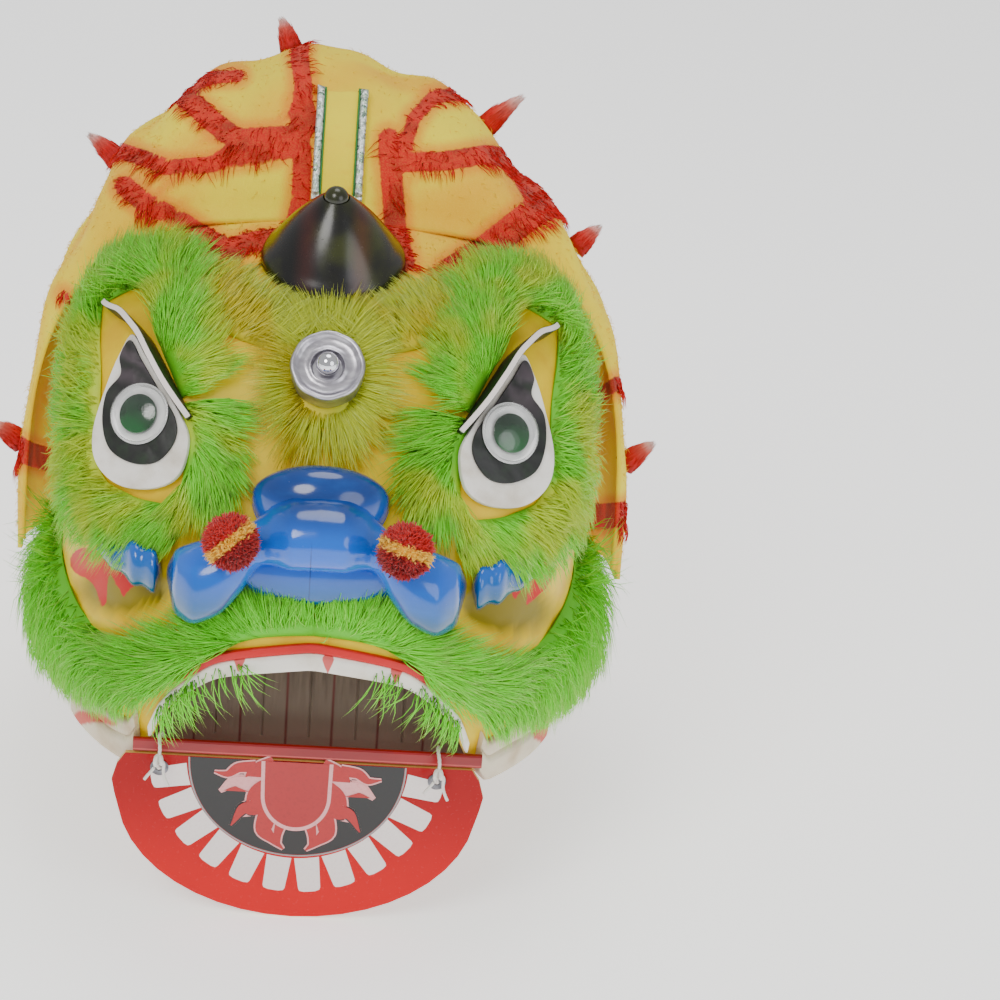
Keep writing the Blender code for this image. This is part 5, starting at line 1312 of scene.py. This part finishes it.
def build_upper_lip():
    """The upper lip: a band of white teeth round the mouth arch with red wedges between them, the red gum
    over it, and a foam corner at either side."""
    turn = np.linspace(-31, 31, 160)
    flat = np.full(160, 1.0)
    body = rim_band(turn, flat * 0.0005, flat * TEETH_HEIGHT, flat * 0.0020)
    wedges = [((3.0, 0.2), ((x, y + 3), (x, y - 4))) for x, y in ((-37, -147), (8, -145), (43, -149))]
    gap = beside_lines(seen_from_front(body[0]), wedges)[0]
    p = Paint("upper_teeth_board")
    grain, dirt = p.noise(1400.0, 3.0), p.noise(70.0, 5.0).soft(0.45, 0.8)
    color = p.mix(dirt * 0.6, linear(240, 234, 222), linear(206, 190, 160))
    color = p.mix((1 - p.value("wedge").soft(-0.2, 0.3)) * 0.9, color, linear(205, 40, 36))
    white = p.done(color, 0.5 + grain * 0.1, p.bump(grain, 0.15, 0.0006))
    piece("upper_teeth_band", body, white, "upper_teeth", slot="white_board", smooth=50, wedge=gap)
    turn = np.linspace(-24, 24, 110)
    flat = np.full(110, 1.0)
    low, high = TEETH_HEIGHT + 0.0002, TEETH_HEIGHT + GUM_HEIGHT
    body = rim_band(turn, flat * low, flat * high, flat * 0.0022)
    piece("gum_band", body, board_paint("gum_board", linear(204, 14, 16), linear(166, 8, 10), 0.4),
          "gum_strip", slot="red_board", smooth=50)
    for side, label in ((-1, "left"), (1, "right")):
        turn = side * np.linspace(34.5, 60.5, 70)
        wave = 1 + 0.05 * np.sin(turn / 3.1)
        low = rim_band(turn, np.full(70, 0.0006), 0.0165 * wave, np.full(70, 0.0042))
        high = rim_band(turn, 0.0162 * wave, CORNER_HEIGHT * wave, np.full(70, 0.0027))
        body = joined(low, high)
        gap = beside_lines(seen_from_front(body[0]), CORNER_SMUDGES)[0]
        p = Paint(f"corner_foam_{label}")
        pores = p.noise(1100.0, 4.0)
        stain = p.noise(46.0, 5.0).soft(0.4, 0.75)
        color = p.mix(stain, linear(226, 214, 190), linear(196, 172, 136))
        edge = p.value("smudge") + (p.noise(240.0, 4.0) - 0.5) * 3.0
        color = p.mix((1 - edge.soft(-0.6, 1.6)) * 0.85, color, linear(206, 48, 40))
        foam = p.done(color, 0.8, p.bump(pores + stain * 0.5, 0.4, 0.0008))
        item = piece(f"corner_foam_{label}", body, foam, f"lip_corner_{label}", slot="white_foam", smooth=50,
                     smudge=gap)


def dress_mouth():
    """Paints for the card behind the mouth, the bar and the jaw board, whose shapes are right, with painted shade on
    all three and a painted highlight on the bar's top corner.
    """
    p = Paint("mouth_card_paint_and_shade")
    x, z = p.along("X"), p.along("Z")
    fibre = p.noise(340.0, 5.0, (1.0, 1.0, 0.12))
    color = p.mix(fibre.soft(0.3, 0.75), linear(104, 90, 76), linear(78, 66, 54))
    # painted shade: the card is darker at the top, under the upper lip, and lighter lower down
    color = p.mix(1 - z.soft(-222.0, -186.0), color, linear(120, 108, 94))
    panel = (x / 22.4).math("FRACT") - 0.5
    line = (panel.math("ABSOLUTE") * -22.4 + 1.1).soft(0.0, 1.1)
    color = p.mix(line * 0.9, color, linear(88, 30, 26))
    card = p.done(color, 0.8, p.bump(fibre - line, 0.3, 0.0008))
    p = Paint("bar_paint_shade_and_highlight")
    z = p.along("Z")
    wear = p.noise(90.0, 5.0, (0.3, 1.0, 1.0))
    # painted shade: both reds are darker than the jaw's, as under the upper lip; the noise between them is wear
    color = p.mix(wear.soft(0.4, 0.75), linear(132, 4, 12), linear(160, 10, 18))
    # painted highlight: a lighter line along the bar's top corner
    line = (1 - ((z + 221.6).math("ABSOLUTE") / 0.6)).soft(0.0, 1.0)
    color = p.mix(line * 0.55, color, linear(222, 96, 90))
    bar = p.done(color, 0.35, p.bump(wear, 0.12, 0.0006), Coat_Weight=0.2)
    p = Paint("jaw_paint_and_shadow")
    z = p.along("Z")
    cloud = p.noise(22.0, 3.0)
    # painted shadow: the jaw is darker red at the top, in the shadow of the head above it
    color = p.mix(z.soft(-300.0, -230.0), linear(206, 0, 8), linear(160, 0, 6))
    color = p.mix(cloud.soft(0.5, 0.8) * 0.35, color, linear(186, 0, 8))
    y = p.along("Y")
    rim = y.soft(-139.95, -139.85) * (1 - y.soft(-137.65, -137.55))
    color = p.mix(rim, color, linear(214, 170, 90))
    scuff = p.noise(500.0, 4.0).soft(0.55, 0.85)
    jaw = p.done(color, 0.24 + scuff * 0.2, p.bump(cloud, 0.03, 0.001), Specular_IOR_Level=0.25)
    foot = [(-0.090, -0.2340), (0.090, -0.2340), (0.090, -0.2238), (-0.090, -0.2238)]
    back = (np.zeros(3), AXES[0], AXES[2], -AXES[1])
    piece("mouth_card_foot", slab(foot, 0.1162, 0.1178, 0.0003, back), card, slot="brown_card", smooth=50)
    for node, paint in (("mouth_card", card), ("lower_lip_bar", bar), ("jaw_board", jaw)):
        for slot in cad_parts[node].material_slots:
            slot.material = paint


def print_layer(name, loops, height, color, other):
    """One printed colour on the jaw board: closed lines filled flat, as thin as ink, on its front."""
    curve = bpy.data.curves.new(name, "CURVE")
    curve.dimensions, curve.fill_mode, curve.extrude = "2D", "BOTH", 0.00004
    for loop in loops:
        spline = curve.splines.new("POLY")
        spline.points.add(len(loop) - 1)
        flat = np.tile([0.0, 0.0, 0.0, 1.0], (len(loop), 1))
        flat[:, :2] = np.asarray(loop, float) * 1e-3
        spline.points.foreach_set("co", flat.ravel())
        spline.use_cyclic_u = True
    form = bpy.data.objects.new(name, curve)
    bpy.context.scene.collection.objects.link(form)
    bpy.context.view_layer.update()
    mesh = bpy.data.meshes.new_from_object(form)
    bpy.data.objects.remove(form)
    flat = np.zeros(len(mesh.vertices) * 3)
    mesh.vertices.foreach_get("co", flat)
    x, z, lift = flat.reshape(-1, 3).T
    face = BAR_FRONT + 0.00125 + 0.00005 + height
    mesh.vertices.foreach_set("co", np.stack([x, -face - lift, z], -1).ravel())
    mesh.update()
    mesh.materials.clear()
    p = Paint(name + "_ink")
    fleck = p.noise(700.0, 4.0)
    paint = p.done(p.mix(fleck.soft(0.45, 0.85) * 0.5, color, other), 0.28 + fleck * 0.15,
                   p.bump(fleck, 0.05, 0.0004), Coat_Weight=0.3)
    mesh.materials.append(paint)
    item = bpy.data.objects.new(name, mesh)
    bpy.context.scene.collection.objects.link(item)
    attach(item, "jaw")
    return item


def brush(line, widths, count=24):
    """The outline of a brush stroke: a smooth line swollen by widths that run along it."""
    line = np.asarray(line, float)
    share = np.linspace(0, len(line) - 1, count)
    table = numbered(line)
    x, z = smooth_rows(share, table, 1), smooth_rows(share, table, 2)
    half = smooth_rows(share / (len(line) - 1) * (len(widths) - 1), numbered([(w,) for w in widths]), 1)
    path = np.stack([x, z], -1)
    ahead = unit(np.gradient(path, axis=0))
    side = np.stack([-ahead[:, 1], ahead[:, 0]], -1) * half[:, None]
    return np.concatenate([path + side, (path - side)[::-1]])


def build_jaw_print():
    """The jaw's print: a black half moon in a ring of white teeth, a red tongue and flame licks either
    side of it, each with a pink line round it."""
    middle = -4.5
    top = -224.6
    def moon(wide, deep, count=60):
        turn = np.linspace(0, math.pi, count)
        return np.stack([middle + wide * np.cos(turn), top - deep * np.abs(np.sin(turn)) ** 0.92], -1)
    teeth = []
    edges = np.linspace(math.radians(3), math.radians(177), 13)
    for low, high in zip(edges[:-1], edges[1:]):
        mid, half = (low + high) / 2, (high - low) / 2
        share = np.array([-0.90, -0.74, -0.40, 0.0, 0.40, 0.74, 0.90])
        outer = mid + half * np.array([-0.62, -0.55, -0.30, 0.0, 0.30, 0.55, 0.62])
        deep = np.array([0.90, 0.97, 1.0, 1.0, 1.0, 0.97, 0.90])
        turn = mid + half * share
        inner = np.stack([middle + 53.5 * np.cos(turn), top - 54.5 * np.sin(turn)], -1)
        wide, tall = 53.5 + 18.0 * deep, 54.5 + 19.5 * deep
        ends = np.stack([middle + wide * np.cos(outer), top - tall * np.sin(outer)], -1)
        teeth.append(np.concatenate([inner, ends[::-1]]))
    print_layer("jaw_teeth", teeth, 0.0, linear(236, 226, 222), linear(222, 196, 192))
    print_layer("jaw_ring", [moon(52.6, 53.4), moon(51.8, 52.6)], 0.00009, linear(150, 146, 146),
                linear(110, 108, 108))
    print_layer("jaw_throat", [moon(51.6, 52.4)], 0.0, linear(8, 7, 8), linear(24, 20, 22))
    licks = (
        (((-12, -228), (-20, -232), (-24, -238), (-31, -237), (-39, -243)), (6.5, 6.0, 4.5, 3.0, 0.3)),
        (((-13, -238), (-20, -244), (-22, -251), (-27, -252), (-33, -262)), (6.0, 5.5, 4.5, 3.0, 0.3)),
        (((-12, -250), (-16, -257), (-17, -263), (-12, -269), (-7, -274)), (5.0, 4.5, 4.0, 2.2, 0.3)),
        (((-9, -260), (-10, -266), (-9, -272)), (2.6, 1.8, 0.3)),
        (((-22, -228), (-30, -229), (-36, -233), (-42, -232)), (3.0, 2.6, 1.6, 0.2)),
    )
    strokes = [([(side * (x + 1.6) - 4.0, z) for x, z in points], widths)
               for points, widths in licks for side in (1, -1)]
    for k, (line, widths) in enumerate(strokes):
        edge = brush(line, [w + 0.85 for w in widths])
        print_layer(f"jaw_flame_line_{k + 1}", [edge], 0.0001 + 0.00002 * k,
                    linear(228, 160, 160), linear(206, 110, 112))
    for k, (line, widths) in enumerate(strokes):
        print_layer(f"jaw_flame_{k + 1}", [brush(line, widths)], 0.00032 + 0.00001 * k,
                    linear(176, 4, 10), linear(130, 2, 6))
    def tongue(wide, deep):
        turn = np.linspace(0, math.pi, 30)
        arc = np.stack([middle + wide * np.cos(turn), top - (deep - wide) - wide * 1.15 * np.sin(turn)], -1)
        return np.concatenate([[(middle + wide * 1.02, top)], arc, [(middle - wide * 1.02, top)]])
    print_layer("jaw_tongue_line", [tongue(17.0, 36.0)], 0.00044, linear(232, 164, 164),
                linear(210, 120, 122))
    print_layer("jaw_tongue", [tongue(15.2, 34.2)], 0.00052, linear(168, 2, 10), linear(130, 2, 6))


def build_strings():
    """The jaw's ties: a metal eyelet, and a white string that loops through it and over the bar, with its
    knot and two short ends in front."""
    metal = metal_paint("eyelet_metal", linear(96, 96, 100), linear(140, 140, 146))
    p = Paint("string_cotton")
    fibre = p.noise(3200.0, 3.0)
    cotton = p.done(p.mix(fibre, linear(246, 244, 238), linear(206, 200, 190)), 0.85,
                    p.bump(fibre, 0.4, 0.0003), Sheen_Weight=0.2)
    middle_z = -BAR_DROP + (0.00524 - EYELET_DOWN) / 2
    radius = (0.00524 + EYELET_DOWN) / 2
    for side, label in ((-1, "left"), (1, "right")):
        x = JAW_SHIFT + side * EYELET_ACROSS
        base = (np.array([x, -BAR_FRONT, -BAR_DROP - EYELET_DOWN]), AXES[0], AXES[2], -AXES[1])
        half = ((0.0016, 0.0018), (0.0018, 0.0021), (0.0036, 0.0022), (0.0044, 0.0018), (0.0044, 0.0016),
                (0.0026, 0.0015))
        profile = [(r, -h) for r, h in half] + list(half[::-1])
        piece(f"jaw_eyelet_{label}", spun(profile, 40, base), metal, f"eyelet_{label}", "jaw", "grey_metal", 50)
        turn = np.radians(np.linspace(-14, 314, 44)) + math.pi + 0.5
        path = np.stack([x + 0.0004 * np.sin(3 * turn), -BAR_FRONT + radius * np.cos(turn),
                         middle_z + radius * np.sin(turn)], -1)
        cord = piece(f"jaw_tie_{label}", tube(path, STRING_RADIUS, 10, 2600.0, 0.10), cotton,
                     f"jaw_string_{label}", "jaw", "white_cord")
        knot = (path[0] + path[-1]) / 2 + np.array([0, -0.0006, 0])
        s = np.linspace(0, 2 * math.pi, 40)
        lump = np.stack([knot[0] + 0.0016 * np.sin(s), knot[1] + 0.0012 * np.cos(2 * s) - 0.0004,
                         knot[2] + 0.0017 * np.sin(2 * s + 0.6)], -1)
        t = np.linspace(0, 1, 16)
        ends = []
        for way, drop in ((-1, 0.010), (1, 0.013)):
            wave = 0.0012 * np.sin(5 * t + way)
            x_end = knot[0] + way * (0.0005 + 0.005 * t) + wave
            y_end = knot[1] - 0.0012 - 0.0012 * t
            z_end = knot[2] - drop * t * (0.3 + 0.7 * t)
            ends.append(tube(np.stack([x_end, y_end, z_end], -1), 0.00075, 8))
        tie = piece(f"jaw_knot_{label}", joined(tube(lump, 0.0010, 8), *ends), cotton, (), "jaw", "white_cord")


def build_collar(paint):
    """The fur round the mirror: long fine hair combed straight out from it, over the painted brow."""
    base = axis_frame("mirror_dish", (0, -1, 1))
    count = 2600
    spin = chance.uniform(0, 2 * math.pi, count)
    turn, down = 0.0, 0.171
    out = np.cos(spin)[:, None] * base[1] + np.sin(spin)[:, None] * base[2]
    inner = 0.0150 + 0.016 * chance.uniform(0, 1, count) ** 1.4
    root_turn, root_down = slide(np.full(count, turn), np.full(count, down), out * inner[:, None])
    place, normal = mask_point(root_turn, root_down), mask_normal(root_turn, root_down)
    length = chance.uniform(0.014, 0.034, count)
    comb = out + 0.14 * chance.normal(size=out.shape)
    lift = chance.uniform(0.1, 0.45, count)
    lines = combed(place + normal * 0.001, normal, comb, length, lift, 0.05, 4, 0.5, 110)
    around = np.linspace(0, 2 * math.pi, 90, endpoint=False)
    ring = np.cos(around)[:, None] * base[1] + np.sin(around)[:, None] * base[2]
    rings = []
    bed = ((0.0125, 0.0004), (0.0125, 0.0026), (0.016, 0.0030), (0.020, 0.0024), (0.023, 0.0012), (0.0235, 0.0004))
    for reach, rise in bed:
        t, d = slide(np.full(90, turn), np.full(90, down), ring * reach)
        rings.append(mask_point(t, d) + mask_normal(t, d) * rise)
    furred("mirror_collar", [ring_loft(np.stack(rings))], lines, 0.00020, paint, "mirror_fur")


def build_furs():
    """Every band of green fur on the mask, each side in its turn."""
    green = fur_paint("lime_fur", linear(70, 158, 20), linear(120, 232, 40), linear(204, 244, 120))
    mixed = fur_paint("brow_fur_hair", linear(84, 164, 22), linear(126, 230, 44), linear(208, 240, 116),
                      linear(216, 222, 44))
    pale = fur_paint("collar_hair", linear(176, 178, 30), linear(206, 218, 54), linear(222, 240, 140),
                     linear(214, 190, 30))
    for side, label in ((-1, "left"), (1, "right")):
        for part, rows, count, thick, paint, locks, bed in (
                ("brow", BROW, 4300, 0.00029, mixed, 150, 0.5), ("inner", INNER, 1500, 0.00028, mixed, 60, 0.25),
                ("forehead", FOREHEAD, 1400, 0.00027, pale, 60, 0.3), ("cheek", CHEEK, 3200, 0.00028, mixed, 120, 0.3)):
            fur_band(f"{part}_hair_{label}", rows, side, count, thick, paint, f"{part}_fur_{label}", locks, bed)
        node = ("lip_fur",) if side < 0 else ()
        fur_band(f"lip_hair_{label}", LIP, side, 5400, 0.00029, green, node, locks=190, bed=0.4, low=-0.214,
                 extra=mouth_fan(side))
    build_collar(pale)


def lamp(name, place, size, power, color):
    light = bpy.data.lights.new(name, "AREA")
    light.shape, light.size, light.energy, light.color = "DISK", size, power, color
    item = bpy.data.objects.new(name, light)
    item.location = place
    item.rotation_euler = (Vector((0, 0, -0.1)) - Vector(place)).to_track_quat("-Z", "Y").to_euler()
    bpy.context.scene.collection.objects.link(item)


def set_stage():
    """A pale floor, soft studio light and a camera in front, 23 degrees up, rolled 3 degrees."""
    low = cad_box[0][2] - 0.0008
    corners = np.array([(-6, -6, low), (6, -6, low), (6, 6, low), (-6, 6, low)], float)
    mesh = bpy.data.meshes.new("floor")
    mesh.from_pydata(corners.tolist(), [], [(0, 1, 2, 3)])
    p = Paint("floor_paper")
    paper = p.mix(p.noise(3.0, 2.0) * 0.3, linear(250, 250, 249), linear(244, 244, 243))
    mesh.materials.append(p.done(paper, 0.9,
                                 Emission_Color=(1, 1, 1, 1), Emission_Strength=0.9))
    floor = bpy.data.objects.new("floor", mesh)
    bpy.context.scene.collection.objects.link(floor)
    world = bpy.data.worlds.new("studio")
    bpy.context.scene.world = world
    world.use_nodes = True
    world.node_tree.nodes["Background"].inputs[0].default_value = (1.0, 1.0, 1.0, 1.0)
    world.node_tree.nodes["Background"].inputs[1].default_value = 0.55
    lamp("key", (-0.7, -1.3, 1.3), 0.9, 17, (1.0, 0.98, 0.95))
    lamp("fill", (1.1, -1.2, 0.5), 1.1, 7, (0.96, 0.98, 1.0))
    lamp("top", (0.1, 0.3, 1.6), 1.0, 10, (1.0, 1.0, 1.0))
    camera = bpy.data.cameras.new("camera")
    camera.lens, camera.sensor_width, camera.sensor_fit = 92.12, 36.0, "HORIZONTAL"
    camera.shift_x, camera.shift_y = 0.173, -0.12
    camera.clip_start, camera.clip_end = 0.05, 30
    item = bpy.data.objects.new("camera", camera)
    bpy.context.scene.collection.objects.link(item)
    item.location = CAMERA_PLACE
    roll = Quaternion((0, 0, 1), math.radians(CAMERA_ROLL))
    turn = Quaternion((1, 0, 0), math.radians(90 - CAMERA_LEAN)) @ roll
    item.rotation_euler = turn.to_euler()
    bpy.context.scene.camera = item


set_stage()
build_strings()
build_mask()
build_furs()
hood_piece, red_pile, yellow_pile = build_hood()
build_flame_points()
build_crest()
build_horn()
build_mirror()
build_nose()
build_upper_lip()
dress_mouth()
build_jaw_print()
for hand, word in ((-1, "left"), (1, "right")):
    build_brow(hand, word)
    build_eye(hand, word)
    build_pompom(hand, word)
